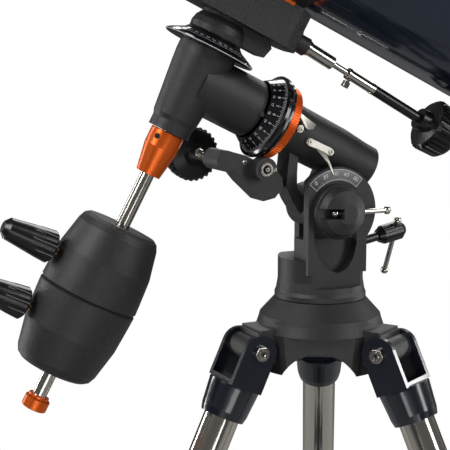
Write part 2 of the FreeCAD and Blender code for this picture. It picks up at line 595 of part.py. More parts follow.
def sliding_bar(length, place):
    """A round bar with a ball on each end, along X, its middle at the given place."""
    ends = [f"{place} - {length} / 2 + bar_ball_radius", f"{place} + {length} / 2 - bar_ball_radius"]
    return moved(fused(rod("bar_radius", ends[0], ends[1]), *[ball("bar_ball_radius", z=end) for end in ends]), ALONG_X)


keep("latitude_lock_bar", sliding_bar("lock_bar_length", "-lock_bar_shift"),
     lock_frame.multiply(shift(z="cheek_outer + face_gap + lock_bar_height")))


def latitude_screw():
    """The screw that pushes the polar housing up, with its long head."""
    shank = rod("screw_radius", "screw_start", "screw_head_start + 2")
    pad = rod("screw_radius - 1", "screw_start - 2", "screw_start + 1")
    head = turned([("0", "screw_head_start"), ("screw_head_radius - 3", "screw_head_start"),
                   ("screw_head_radius", "screw_head_start + 5"),
                   ("screw_head_radius", "screw_head_start + screw_head_length - 5"),
                   ("screw_head_radius - 4", "screw_head_start + screw_head_length"),
                   ("0", "screw_head_start + screw_head_length")])
    facets = toothed(8, "screw_head_radius + facet_rise", "screw_head_radius - 0.4", "screw_head_start - 1",
                     "screw_head_start + screw_head_length + 1")
    way = rod("bar_radius + running_gap", "-screw_head_radius * 2", "screw_head_radius * 2", "x",
              z="screw_bar_place")
    return cut(fused(shank, pad, common(head, facets)), moved(way, spin(Z, "screw_bar_roll")))


screw_frame = screw_axis.multiply(ALONG_X)
keep("latitude_screw", latitude_screw(), screw_frame)
keep("latitude_screw_bar",
     sliding_bar("screw_bar_length",
                 "-screw_bar_length / 2 + 2 * bar_ball_radius + screw_head_radius + facet_rise + face_gap"),
     screw_frame.multiply(shift(z="screw_bar_place")).multiply(spin(Z, "screw_bar_roll")))

# ---------------------------------------------------------------- polar housing


def polar_housing():
    """The housing of the right ascension axis, its pivot boss, and the web under its neck."""
    barrel = moved(turned([("0", "housing_low"), ("housing_radius - housing_round", "housing_low"),
                           ("housing_radius - housing_round / 3", "housing_low + housing_round / 3"),
                           ("housing_radius - 2", "housing_low + housing_round * 2"),
                           ("housing_radius", "10"), ("housing_neck_radius - 1", "housing_high - 14"),
                           ("housing_neck_radius", "housing_high"), ("0", "housing_high")]),
                   shift(z="ra_offset").multiply(ALONG_X))
    boss = rod("pivot_disc_radius", "-pivot_half_width", "pivot_half_width", "y")
    gusset = moved(padded([("housing_low + 1", "-ra_offset + 8"), ("housing_low + 6", "-8"), ("-20", "0"),
                           ("16", "0"), ("16", "-ra_offset + 6")], "-gusset_half_width", "gusset_half_width"),
                   spin(X, -90))
    web = moved(padded([("57", "-33"), ("57 - web_thickness", "-33"), ("50 - web_thickness", "-16"),
                        ("44 - web_thickness", "-4"), ("18", "2"), ("22", "15"), ("34", "8"), ("45", "-1"),
                        ("51", "-16")], "-web_half_width", "web_half_width"), spin(X, -90))
    inside = rod("housing_bore", "housing_low + 6", "housing_high + 1", "x", z="ra_offset")
    wheel_room = rod("ra_wheel_radius + face_gap", "ra_wheel_place - ra_wheel_width / 2 - 0.3",
                     "ra_wheel_place + ra_wheel_width / 2 + 0.3", "x", z="ra_offset")
    axle = rod("axle_radius + running_gap", "-pivot_half_width - 1", "pivot_half_width + 1", "y")
    screw_end = azimuth.inverse().multiply(screw_axis).multiply(ALONG_X)
    clearance = moved(rod("screw_radius + 4", "0", "ear_radius * 2"), polar.inverse().multiply(azimuth).multiply(screw_end))
    bearings = [cut(rod("housing_bore", low, high, "x", z="ra_offset"),
                    rod("ra_shaft_radius + running_gap", "-100", "100", "x", z="ra_offset"))
                for low, high in (("housing_low + 8", "housing_low + 20"), ("housing_high - 12", "housing_high"))]
    casting = cut(fused(barrel, boss, gusset, web), inside, axle, clearance)
    return cut(fused(casting, *bearings), wheel_room)


keep("polar_housing", polar_housing(), polar)


def ra_worm_block():
    """The casting under the neck that carries the right ascension worm."""
    body = moved(padded([("49", "1"), ("52", "12"), ("61", "19"), ("84", "12"), ("102", "4"),
                         ("worm_x + 9", "-worm_z + 3"), ("worm_x + 9", "-worm_z - 6"),
                         ("worm_x", "-worm_z - 9"), ("94", "-block_top"), ("60", "-block_top"),
                         ("53", "-6")], "-block_half_width", "block_half_width"), spin(X, -90))
    worm_boss = rod("worm_boss_radius", "-block_half_width - 5", "block_half_width", "y", x="worm_x", z="worm_z")
    tension_boss = rod("tension_boss_radius", "block_half_width - 2", "block_half_width + 11", "y",
                       x="tension_boss_x", z="tension_boss_z")
    chamber = rod("worm_radius + face_gap", "-worm_half_length", "worm_half_length", "y", x="worm_x", z="worm_z")
    way = rod("worm_shaft_radius + running_gap", "-block_half_width - 10", "-worm_half_length + 1", "y", x="worm_x",
              z="worm_z")
    tail = rod("2.5 + running_gap", "worm_half_length - 1", "block_half_width - 2", "y", x="worm_x", z="worm_z")
    clear_web = moved(padded([("57 + face_gap", "-34"), ("51 + face_gap", "-16"), ("45 + face_gap", "-1"),
                              ("34", "8"), ("22", "15"), ("0", "0"), ("0", "-34")], "-web_half_width - 40",
                             "web_half_width + 40"), spin(X, -90))
    return cut(fused(body, worm_boss, tension_boss), chamber, way, tail, clear_web)


keep("ra_worm_block", ra_worm_block(), polar)


def grooved_worm(radius, shaft, half_length):
    """A worm along Z, with its thread shown as rounded grooves, and its tail pin."""
    corners = [("0", f"-{half_length} + face_gap")]
    pitch = 2.4
    count = int((2 * size(half_length) - 1) // pitch)
    for turn in range(count):
        low = f"-{half_length} + face_gap + {turn * pitch}"
        corners += [(f"{radius} - 1.4", low), (radius, f"{low} + 0.9"), (radius, f"{low} + 1.4"),
                    (f"{radius} - 1.4", f"{low} + 2.3")]
    corners.append(("0", f"-{half_length} + face_gap + {(count - 1) * pitch} + 2.3"))
    return turned(corners)


worm_frame = polar.multiply(shift(x="worm_x", z="worm_z")).multiply(spin(X, 90))
keep("ra_worm", fused(grooved_worm("worm_radius", "worm_shaft_radius", "worm_half_length"),
                      rod("worm_shaft_radius", "worm_half_length - 2", "ra_knob_near + 8"),
                      rod("2.5", "-block_half_width + 2.3", "-worm_half_length + 1")), worm_frame)


def slow_motion_knob(near, far):
    """A deeply ribbed knob on a shaft along Z, its open boss towards the shaft."""
    shape = turned([("worm_shaft_radius", near), ("worm_shaft_radius + 5", near),
                    ("worm_shaft_radius + 6", f"{near} + 8"), ("knob_radius - 3", f"{near} + 10"),
                    ("knob_radius", f"{near} + 13"), ("knob_radius - 1.5", f"{far} - 4"),
                    ("knob_radius - 5", far), ("knob_radius - 11", far), ("knob_radius - 12", f"{far} - 3"),
                    ("0", f"{far} - 3"), ("0", f"{near} + 8"), ("worm_shaft_radius", f"{near} + 8")])
    return common(shape, toothed(int(size("knob_rib_count")), "knob_radius + 0.2", "knob_radius - 2.4",
                                 near, far))


keep("ra_knob", slow_motion_knob("ra_knob_near", "ra_knob_far"), worm_frame)

# ---------------------------------------------------------------- right ascension axis
# Along X of the still frame; the declination axis crosses it at the origin.

ra_line = ra_still.multiply(ALONG_X)
ra_turned = ra.multiply(ALONG_X)

ring_body = cut(
    common(turned([("0", "-dec_distance + ring_far"),
                   ("ring_radius - 1", "-dec_distance + ring_far"), ("ring_radius", "-dec_distance + ring_far + 1"),
                   ("ring_radius", "-dec_distance + ring_near - 1"), ("ring_radius - 1", "-dec_distance + ring_near"),
                   ("0", "-dec_distance + ring_near")]),
           toothed(int(size("ring_rib_count")), "ring_radius + 0.1", "ring_radius - 0.7",
                   "-dec_distance + ring_far", "-dec_distance + ring_near")),
    rod("ra_shaft_radius + running_gap", "-dec_distance", "0"))
keep("ra_lock_ring", ring_body, ra_line)

ra_dial = turned([("ra_shaft_radius + running_gap", "-dec_distance + ring_near + face_gap"),
                  ("dial_rim_radius - 2", "-dec_distance + ring_near + face_gap"),
                  ("dial_rim_radius - 2", "-dec_distance + ring_near + 2"),
                  ("dial_rim_radius", "-dec_distance + ring_near + 2 + dial_rim_band"),
                  ("dial_rim_radius", "-dec_distance + ring_near + 5 + dial_rim_band"),
                  ("dial_rim_radius - 3", "-dec_distance + ring_near + 6 + dial_rim_band"),
                  ("dial_neck_radius", "-dec_distance + dial_near"),
                  ("dial_neck_radius - 1.4", "-dec_distance + dial_near"),
                  ("dial_rim_radius - 7", "-dec_distance + ring_near + 2 + dial_rim_band"),
                  ("ra_shaft_radius + running_gap", "-dec_distance + ring_near + 2 + dial_rim_band")])
keep("ra_dial", ra_dial, ra_line)

ra_low = "-dec_distance + housing_low + 8"
keep("ra_shaft", cut(rod("ra_shaft_radius", ra_low, "arm_end + 24"), rod("6", f"{ra_low} - 1", "arm_end + 10")), ra_turned)
wheel_low = "-dec_distance + ra_wheel_place - ra_wheel_width / 2"
keep("ra_worm_wheel",
     cut(toothed(int(size("wheel_teeth")), "ra_wheel_radius", "ra_wheel_radius - 1.6", wheel_low,
                 f"{wheel_low} + ra_wheel_width"),
         rod("ra_shaft_radius", "-dec_distance", "0")), ra_turned)

# ---------------------------------------------------------------- declination housing


def dec_housing():
    """The T-shaped housing: a tapered barrel on the declination axis and an arm to the polar axis."""
    barrel = turned([("0", "dec_body_top"), ("dec_body_radius", "dec_body_top"), ("dec_body_radius", "18"),
                     ("dec_body_radius - 1", "6"), ("dec_neck_radius + 1.5", "dec_body_neck"),
                     ("dec_neck_radius", "dec_body_neck - 4"), ("dec_neck_radius", "dec_body_low"),
                     ("0", "dec_body_low")])
    arm = moved(turned([("0", "arm_end"), ("arm_radius - 3", "arm_end"), ("arm_radius - 0.8", "arm_end + 2"),
                        ("arm_radius", "arm_end + 5"), ("arm_radius", "0"), ("0", "0")]), ALONG_X)
    pocket = rod("dec_bore", "dec_shaft_low - 1", "dec_body_top + 1")
    shaft_way = rod("ra_shaft_radius", "arm_end - 1", "arm_end + 24", "x")
    thread = rod("rod_radius", "dec_body_low - 1", "dec_body_low + 12")
    screw = rod("1.6", "arm_radius - 1", "arm_radius + 0.8", "y", x="arm_end + 3.5")
    return fused(cut(fused(barrel, arm), pocket, shaft_way, thread), screw)


keep("dec_housing", dec_housing(), ra)

keep("dec_dial", turned([("dec_shaft_radius + running_gap", "dec_body_top + face_gap"),
                         ("dec_dial_rim - 1", "dec_dial_low + face_gap + 0.2"),
                         ("dec_dial_rim", "dec_dial_low + 1.2"), ("dec_dial_rim", "dec_dial_low + 2.6"),
                         ("dec_dial_rim - 4", "dec_dial_low + 5"), ("dec_dial_neck + 3", "dec_dial_top - 3"),
                         ("dec_dial_neck", "dec_dial_top"),
                         ("dec_shaft_radius + running_gap", "dec_dial_top")]), ra)

keep("dec_shaft", rod("dec_shaft_radius", "dec_shaft_low", "dec_wheel_low + dec_wheel_width"), dec)


def dec_saddle():
    """The head on the declination shaft: a dome, a stop block, and the saddle under the tube."""
    dome = turned([("dec_shaft_radius", "dec_dial_top + face_gap"), ("dome_radius - 0.4", "dec_dial_top + face_gap"),
                   ("dome_radius", "dec_dial_top + 5"), ("dome_radius - 1.5", "dome_top - 7"),
                   ("dome_radius - 5", "dome_top - 2"), ("dome_radius - 5", "saddle_low + 1"),
                   ("dec_shaft_radius", "saddle_low + 1")])
    stop = moved(padded([("-stop_block_reach + 5", "-dome_top"), ("-stop_block_reach", "-dome_top + 5"),
                         ("-stop_block_reach + 3", "-stop_block_low"), ("-18", "-stop_block_low"),
                         ("-10", "-stop_block_low - 3"), ("-10", "-dome_top")], "-stop_block_half_width",
                        "stop_block_half_width"), spin(X, -90))
    outline = padded([("saddle_front", "-saddle_half_width"), ("saddle_front", "saddle_half_width"),
                      ("-saddle_back + saddle_corner", "saddle_half_width"),
                      ("-saddle_back + saddle_corner / 3", "saddle_half_width - saddle_corner / 3"),
                      ("-saddle_back", "saddle_half_width - saddle_corner"),
                      ("-saddle_back", "-saddle_half_width + saddle_corner"),
                      ("-saddle_back + saddle_corner / 3", "-saddle_half_width + saddle_corner / 3"),
                      ("-saddle_back + saddle_corner", "-saddle_half_width")], "saddle_low", "saddle_high")
    boss = moved(rod("dec_boss_radius", "0", "16"), dec.inverse().multiply(dec_cable_frame).multiply(ALONG_X))
    trough = rod("tube_radius + ring_wall + face_gap", "-saddle_back * 2", "saddle_front * 2", "x",
                 z="tube_axis_height")
    bar_slot = block("-saddle_back * 2", "saddle_front * 2", "-bar_half_width - running_gap", "bar_half_width + running_gap",
                     "bar_low - running_gap", "saddle_high + 1")
    shaft_way = rod("dec_shaft_radius", "dec_shaft_low", "dec_wheel_low + dec_wheel_width")
    wheel_room = rod("dec_wheel_radius + face_gap", "dec_wheel_low - 0.3", "dec_wheel_low + dec_wheel_width + 0.3")
    worm_room = moved(rod("worm_radius + face_gap", "9", "9 + 2 * worm_half_length"),
                      dec.inverse().multiply(dec_cable_frame).multiply(ALONG_X))
    worm_way = moved(rod("link_radius + running_gap", "-20", "12"),
                     dec.inverse().multiply(dec_cable_frame).multiply(ALONG_X))
    return cut(fused(dome, stop, outline, boss), trough, bar_slot, shaft_way, wheel_room, worm_room, worm_way)


keep("dec_saddle", dec_saddle(), dec)
keep("dec_worm_wheel",
     cut(toothed(48, "dec_wheel_radius", "dec_wheel_radius - 1.5", "dec_wheel_low",
                 "dec_wheel_low + dec_wheel_width"),
         rod("dec_shaft_radius", "dec_wheel_low - 1", "dec_wheel_low + dec_wheel_width + 1")), dec)

cable_line = dec_cable_frame.multiply(ALONG_X).multiply(Placement(Vector(), Rotation(Vector(0, 1, 0), 180)))
keep("dec_worm", fused(moved(grooved_worm("worm_radius", "link_radius", "worm_half_length"),
                             shift(z="-9 - worm_half_length")),
                       rod("link_radius", "-12", "8")), cable_line)
sleeve_start = "face_gap"


def dec_cable():
    """The slow motion link: a sleeve, a rod, a coupling with its screw, and the flexible shaft."""
    sleeve = cut(rod("sleeve_radius", sleeve_start, "sleeve_end - dec_boss_end"),
                 rod("link_radius", "-1", "8"))
    link = rod("link_radius", "8", "coupling_start - dec_boss_end + 2")
    coupling = rod("coupling_radius", "coupling_start - dec_boss_end", "coupling_end - dec_boss_end")
    shaft = rod("cable_radius", "coupling_end - dec_boss_end", "dec_knob_near - dec_boss_end + 8")
    screw = rod("2", "-coupling_radius - 4", "0", "x", z="coupling_start - dec_boss_end + 4")
    head = rod("3.4", "-coupling_radius - 7", "-coupling_radius - 2", "x", z="coupling_start - dec_boss_end + 4")
    return fused(sleeve, link, coupling, shaft, screw, head)


keep("dec_cable", dec_cable(), cable_line)
keep("dec_knob", slow_motion_knob("dec_knob_near - dec_boss_end", "dec_knob_far - dec_boss_end"), cable_line)

# ---------------------------------------------------------------- counterweight

collar = turned([("0", "weight_collar_top + 0.7"), ("weight_collar_radius - 0.7", "weight_collar_top + 0.7"),
                 ("weight_collar_radius", "weight_collar_top"), ("weight_collar_radius", "weight_collar_band"),
                 ("weight_collar_end_radius", "weight_collar_low"), ("0", "weight_collar_low")])
keep("counterweight_collar",
     cut(collar, rod("rod_radius", "weight_collar_low - 1", "weight_collar_top + 2"),
         moved(rod("collar_hole_radius", "rod_radius", "weight_collar_radius + 1", "y",
                   z="weight_collar_band + 8"), spin(Z, "-collar_hole_turn"))), ra)
keep("counterweight_shaft", rod("rod_radius", "rod_low", "dec_body_low + 12"), ra)


def weight(top, low, wide_low, screw_place):
    """Half of the barrel-shaped counterweight, with its screw hole on the side away from the mount."""
    narrow, wide = ("weight_end_radius", "weight_radius")
    ends = (low, top) if wide_low else (top, low)
    sign = "+" if wide_low else "-"
    back = "-" if wide_low else "+"
    middle = f"(({top}) + ({low})) / 2"
    shape = turned([("rod_radius + running_gap", ends[0]), (f"{wide} - 1.5", ends[0]), (wide, f"{ends[0]} {sign} 1.5"),
                    (f"{wide} - 0.4", f"{ends[0]} {sign} 10"),
                    (f"({wide} + {narrow}) / 2 + 2.2", middle),
                    (f"{narrow} + 1", f"{ends[1]} {back} weight_round * 1.6"),
                    (f"{narrow} - 1.5", f"{ends[1]} {back} weight_round * 0.5"),
                    (f"{narrow} - weight_round", ends[1]), ("rod_radius + running_gap", ends[1])])
    hole = rod("weight_screw_radius + running_gap", "0", "weight_radius + 2", "x", z=screw_place)
    return cut(shape, hole)


keep("weight_upper", weight("weight_top", "weight_seam + face_gap / 2", True, "upper_screw_place"), ra)
keep("weight_lower", weight("weight_seam - face_gap / 2", "weight_low", False,
                            "lower_screw_place"), ra)


def weight_knob():
    """A tapered fluted grip on the screw that clamps a weight to its shaft."""
    grip = turned([("0", "weight_knob_start"), ("weight_knob_inner_radius - 2", "weight_knob_start"),
                   ("weight_knob_inner_radius", "weight_knob_start + 2"),
                   ("weight_knob_inner_radius - 1", "weight_knob_start + 12"),
                   ("weight_knob_outer_radius", "weight_knob_reach - 4"),
                   ("weight_knob_outer_radius - 4", "weight_knob_reach"), ("0", "weight_knob_reach")])
    flutes = [rod("2.4", "weight_knob_start - 1", "weight_knob_reach + 1",
                  x=f"weight_knob_inner_radius * {round(math.cos(angle), 6)}",
                  y=f"weight_knob_inner_radius * {round(math.sin(angle), 6)}")
              for angle in [2 * math.pi * index / size("weight_knob_flutes")
                            for index in range(int(size("weight_knob_flutes")))]]
    shank = rod("weight_screw_radius", "rod_radius + face_gap", "weight_knob_start + 4")
    return fused(cut(grip, *flutes), shank)


for name, place in (("weight_knob_upper", "upper_screw_place"), ("weight_knob_lower", "lower_screw_place")):
    keep(name, weight_knob(), ra.multiply(shift(z=place)).multiply(ALONG_X))

end_cap = turned([("rod_radius", "cap_top"), ("end_cap_radius - 0.8", "cap_top"), ("end_cap_radius", "cap_top - 0.8"),
                  ("end_cap_radius", "cap_low + 0.8"), ("end_cap_radius - 0.8", "cap_low"), ("0", "cap_low"),
                  ("0", "rod_low"), ("rod_radius", "rod_low")])
washer = turned([("rod_radius", "cap_top + face_gap"), ("washer_radius", "cap_top + face_gap"),
                 ("washer_radius", "cap_top + face_gap + washer_thickness"),
                 ("rod_radius", "cap_top + face_gap + washer_thickness")])
keep("counterweight_end_cap", grouped(end_cap, washer), ra)

# ---------------------------------------------------------------- optical tube
# Along X of the optics frame, the open end towards +X.

tube_line = optics.multiply(ALONG_X)
tube_shell = cut(rod("tube_radius", "tube_back", "tube_front"),
                 rod("tube_radius - tube_wall", "tube_back - 1", "tube_front + 1"))
light_way = moved(rod("draw_radius + loose_gap", "-10", "10"),
                  tube_line.inverse().multiply(focuser))
keep("tube", cut(tube_shell, light_way), tube_line)

keep("front_ring", turned([("front_rim_opening", "tube_front + 3"), ("tube_radius + rim_proud - 1.5", "tube_front + 3"),
                           ("tube_radius + rim_proud", "tube_front + 1.5"),
                           ("tube_radius + rim_proud", "tube_front - front_rim_length + 1"),
                           ("tube_radius + rim_proud - 1", "tube_front - front_rim_length"),
                           ("tube_radius", "tube_front - front_rim_length"), ("tube_radius", "tube_front"),
                           ("tube_radius - tube_wall", "tube_front"), ("front_rim_opening", "tube_front")]), tube_line)

keep("rear_cell", turned([("0", "tube_back - cell_floor"), ("tube_radius - 6", "tube_back - cell_floor"),
                          ("tube_radius + rim_proud - 1.5", "tube_back - cell_floor + 3"),
                          ("tube_radius + rim_proud", "tube_back"),
                          ("tube_radius + rim_proud", "tube_back + cell_length - 2"),
                          ("tube_radius + rim_proud - 2", "tube_back + cell_length"),
                          ("tube_radius", "tube_back + cell_length"), ("tube_radius", "tube_back"),
                          ("mirror_radius + 4", "tube_back"), ("mirror_radius + 4", "tube_back + mirror_gap + 6"),
                          ("mirror_radius + face_gap", "tube_back + mirror_gap + 6"),
                          ("mirror_radius + face_gap", "tube_back + mirror_gap"),
                          ("0", "tube_back + mirror_gap")]), tube_line)

keep("primary_mirror", turned([("0", "tube_back + mirror_gap"), ("mirror_radius - 1", "tube_back + mirror_gap"),
                               ("mirror_radius", "tube_back + mirror_gap + 1"),
                               ("mirror_radius", "tube_back + mirror_gap + mirror_thickness - 1"),
                               ("mirror_radius - 1", "tube_back + mirror_gap + mirror_thickness"),
                               ("mirror_radius * 0.5", "tube_back + mirror_gap + mirror_thickness - 1.3"),
                               ("0", "tube_back + mirror_gap + mirror_thickness - 1.7")]), tube_line)


def secondary_spider():
    """Four thin vanes that hold the slanted mirror opposite the focuser."""
    hub_barrel = rod("secondary_radius - 3", "spider_place + 12", "spider_place + 12 + secondary_length")
    holder = rod("secondary_radius", "spider_place - secondary_length",
                 "spider_place + secondary_radius + secondary_rim")
    slant = moved(block("-secondary_radius * 4", "secondary_radius * 4", "-secondary_radius * 4",
                        "secondary_radius * 4", "0", "secondary_radius * 8"),
                  shift(z="spider_place").multiply(spin(Z, "focuser_turn")).multiply(spin(Y, -45)))
    mirror = common(holder, slant)
    vanes = []
    for turn in (0, 90):
        vane = block("-tube_radius", "tube_radius", "-vane_thickness / 2", "vane_thickness / 2",
                     "spider_place + 20", "spider_place + 20 + vane_depth")
        vanes.append(moved(vane, spin(Z, f"45 + {turn} + focuser_turn")))
    trimmed = common(fused(*vanes), rod("tube_radius - tube_wall", "tube_back", "tube_front"))
    return fused(mirror, hub_barrel, trimmed)


keep("secondary_spider", secondary_spider(), tube_line)


def focuser_body():
    """The focuser's base, shaped to the tube, and its barrel with a bearing for the knob shaft."""
    base = rod("focuser_base_radius", "-20", "8")
    barrel = turned([("0", "0"), ("focuser_radius + 3", "0"), ("focuser_radius + 3", "10"),
                     ("focuser_radius", "14"), ("focuser_radius", "focuser_height"), ("0", "focuser_height")])
    bearing = block("-focuser_radius - 6", "-draw_radius + 4", "-15", "15", "focus_shaft_height - 8",
                    "focus_shaft_height + 8")
    tube_space = moved(rod("tube_radius", "-tube_radius * 2", "tube_radius * 2", "y"), shift(z="-tube_radius").multiply(
        spin(Z, 90)))
    bore = rod("draw_radius + running_gap", "-30", "focuser_height + 1")
    shaft_way = rod("focus_shaft_radius + running_gap", "-60", "60", "y", x="-focuser_radius - 1",
                    z="focus_shaft_height")
    return cut(fused(base, barrel, bearing), tube_space, bore, shaft_way)


keep("focuser_body", focuser_body(), focuser)
draw_low = "focuser_height + draw_out - draw_length"
keep("drawtube", cut(fused(rod("draw_radius", draw_low, "focuser_height + draw_out - 10"),
                           rod("draw_radius + 3", "focuser_height + draw_out - 10", "focuser_height + draw_out"),
                           rod("2.2", "draw_bore + 1", "draw_radius + 9", "y", z="focuser_height + draw_out - 5"),
                           rod("4.5", "draw_radius + 5", "draw_radius + 12", "y",
                               z="focuser_height + draw_out - 5")),
                     rod("draw_bore", f"{draw_low} - 1", "focuser_height + draw_out + 1")), focuser)
knobs = [rod("focus_shaft_radius", "-focus_knob_reach", "focus_knob_reach", "z")]
for low, high in (("-focus_knob_reach", "-focus_knob_reach + focus_knob_width"),
                  ("focus_knob_reach - focus_knob_width", "focus_knob_reach")):
    knobs.append(toothed(36, "focus_knob_radius", "focus_knob_radius - 0.9", low, high))
keep("focus_knobs", fused(*knobs),
     focuser.multiply(shift(x="-focuser_radius - 1", z="focus_shaft_height")).multiply(ALONG_Y))

eye_low = "focuser_height + draw_out - eyepiece_barrel_length"
keep("eyepiece", cut(turned([("0", eye_low), ("eyepiece_barrel_radius", eye_low),
                             ("eyepiece_barrel_radius", "focuser_height + draw_out"),
                             ("eyepiece_body_radius", "focuser_height + draw_out"),
                             ("eyepiece_body_radius", "focuser_height + draw_out + eyepiece_body_length - 8"),
                             ("eyepiece_body_radius - 4", "focuser_height + draw_out + eyepiece_body_length"),
                             ("0", "focuser_height + draw_out + eyepiece_body_length")]),
                     rod("9", "focuser_height + draw_out + eyepiece_body_length - 4",
                         "focuser_height + draw_out + eyepiece_body_length + 1"),
                     rod("12", f"{eye_low} - 1", f"{eye_low} + 14")), focuser)


def finder():
    """The small finder telescope on its foot, with two alignment screws."""
    half = "finder_length / 2"
    body = moved(turned([("0", f"-{half}"), ("finder_radius - 3", f"-{half}"), ("finder_radius - 3", f"-{half} + 16"),
                         ("finder_radius", f"-{half} + 18"), ("finder_radius", f"{half} - 30"),
                         ("finder_bell_radius", f"{half} - 24"), ("finder_bell_radius", half), ("0", half)]),
                 shift(z="finder_height").multiply(ALONG_X))
    lens_room = rod("finder_bell_radius - 2.5", f"{half} - 10", f"{half} + 1", "x", z="finder_height")
    rings = [rod("finder_bell_radius + 4", f"{place} - 4", f"{place} + 4", "x", z="finder_height") for place in ("-22", "22")]
    stem = block("-26", "26", "-finder_foot_width / 4", "finder_foot_width / 4", "2", "finder_height - 12")
    foot_plate = block("-30", "30", "-finder_foot_width / 2", "finder_foot_width / 2", "-6", "8")
    tube_space = rod("tube_radius", "-tube_radius * 2", "tube_radius * 2", "x", z="-tube_radius")
    eye = rod("8", f"-{half} - 1", f"-{half} + 3", "x", z="finder_height")
    screws = [rod("2", "finder_radius", "finder_bell_radius + 12", "y", x=place, z="finder_height") for place in ("-22", "22")]
    heads = [rod("5", "finder_bell_radius + 8", "finder_bell_radius + 14", "y", x=place, z="finder_height")
             for place in ("-22", "22")]
    return cut(fused(body, *rings, stem, foot_plate, *screws, *heads), tube_space, lens_room, eye)


keep("finder", finder(), finder_frame)

# ---------------------------------------------------------------- rings and dovetail bar


def tube_rings():
    """Two hinged rings round the tube, each with a clamp knob, and a camera stud on the front one."""
    pieces = []
    for place in ("front_ring_place", "back_ring_place"):
        low, high = (f"{place} - ring_width / 2", f"{place} + ring_width / 2")
        band = rod("tube_radius + ring_wall", low, high, "x")
        lug = block(low, high, "tube_radius - 6", "tube_radius + 16", "-9", "9")
        hinge = rod("5", low, high, "x", y="-tube_radius - 6", z="0")
        split = block(f"{low} - 1", f"{high} + 1", "tube_radius - 20", "tube_radius + 30", "-1", "1")
        screw = rod("2.5", "-14", "22", y="tube_radius + 11", x=place)
        grip = rod("8", "9 + face_gap", "24", y="tube_radius + 11", x=place)
        seat = block(low, high, "-bar_half_width", "bar_half_width", "-tube_radius - ring_wall - 1.5", "-tube_radius + 5")
        inside = rod("tube_radius", "-500", "500", "x")
        pieces.append(cut(fused(cut(fused(band, lug, hinge, seat), split), screw, grip), inside))
    stud_base = rod("9", "tube_radius + 2", "tube_radius + ring_wall + 5", x="front_ring_place")
    stud = rod("stud_radius", "tube_radius + ring_wall + 5", "tube_radius + ring_wall + 5 + stud_length",
               x="front_ring_place")
    pieces[0] = fused(pieces[0], cut(stud_base, rod("tube_radius", "-500", "500", "x")), stud)
    return grouped(*pieces)


keep("tube_rings", tube_rings(), optics)
keep("dovetail_bar", block("-bar_end", "bar_end", "-bar_half_width", "bar_half_width", "bar_low",
                           "tube_axis_height - tube_radius - ring_wall - 1.5"), dec)

# ---------------------------------------------------------------- check and write

doc.recompute()
for item in doc.Objects:
    if "Invalid" in item.State or "Error" in item.State:
        raise ValueError(f"{item.Label} failed: {item.State}")
for name, item in parts.items():
    if item.Shape.isNull() or not item.Shape.isValid():
        raise ValueError(f"{name} has no valid shape")
for name, item in parts.items():
    item.Shape.exportStep(f"parts/{name}.step")
print(f"{len(parts)} sub-parts written")
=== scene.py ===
import json
import math

import bmesh
import bpy
from mathutils import Matrix, Vector


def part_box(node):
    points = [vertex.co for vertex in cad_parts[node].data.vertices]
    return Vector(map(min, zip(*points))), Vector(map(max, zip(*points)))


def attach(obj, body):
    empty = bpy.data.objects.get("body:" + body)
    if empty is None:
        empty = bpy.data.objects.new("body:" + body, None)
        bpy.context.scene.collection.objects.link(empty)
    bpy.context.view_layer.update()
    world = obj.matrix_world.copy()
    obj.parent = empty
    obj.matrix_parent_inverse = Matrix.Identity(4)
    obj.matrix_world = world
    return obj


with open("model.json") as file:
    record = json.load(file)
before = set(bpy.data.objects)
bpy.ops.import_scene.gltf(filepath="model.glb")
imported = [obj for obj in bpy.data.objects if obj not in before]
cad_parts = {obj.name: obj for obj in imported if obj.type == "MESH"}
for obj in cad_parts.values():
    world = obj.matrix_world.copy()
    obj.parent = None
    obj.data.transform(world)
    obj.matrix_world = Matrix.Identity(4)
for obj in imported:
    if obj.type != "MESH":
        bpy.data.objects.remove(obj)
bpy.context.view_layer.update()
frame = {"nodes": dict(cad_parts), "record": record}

nodes = frame["nodes"]

# ---------------------------------------------------------------- frames, lengths in millimetres


def turn(axis, degrees):
    return Matrix.Rotation(math.radians(degrees), 4, axis)


def shift(x=0.0, y=0.0, z=0.0):
    return Matrix.Translation((x / 1000, y / 1000, z / 1000))


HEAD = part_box("azimuth_base")[0].z * 1000

# places and angles shared with the part
AZIMUTH_TURN = 208.6
PIVOT_HEIGHT = 80.2
LATITUDE = 26.2
DEC_DISTANCE, RA_OFFSET = 160, 49
RA_ROLL, DEC_ROLL = -5.84, -2.55
TUBE_AXIS_HEIGHT, TUBE_RADIUS = 172.5, 80
FOCUSER_PLACE, FOCUSER_TURN = 262, -35
FINDER_PLACE, FINDER_TURN = 215, 25
WORM_PLACE, WORM_HEIGHT = 108, -2
CABLE_PLACE, CABLE_HEIGHT, CABLE_TILT = -78, 68.5, -3.2
LEG_TURNS = {"left": 210, "right": 330, "rear": 90}
HINGE_RADIUS, HINGE_DROP, LEG_SPLAY = 71, 40.5, 24.5

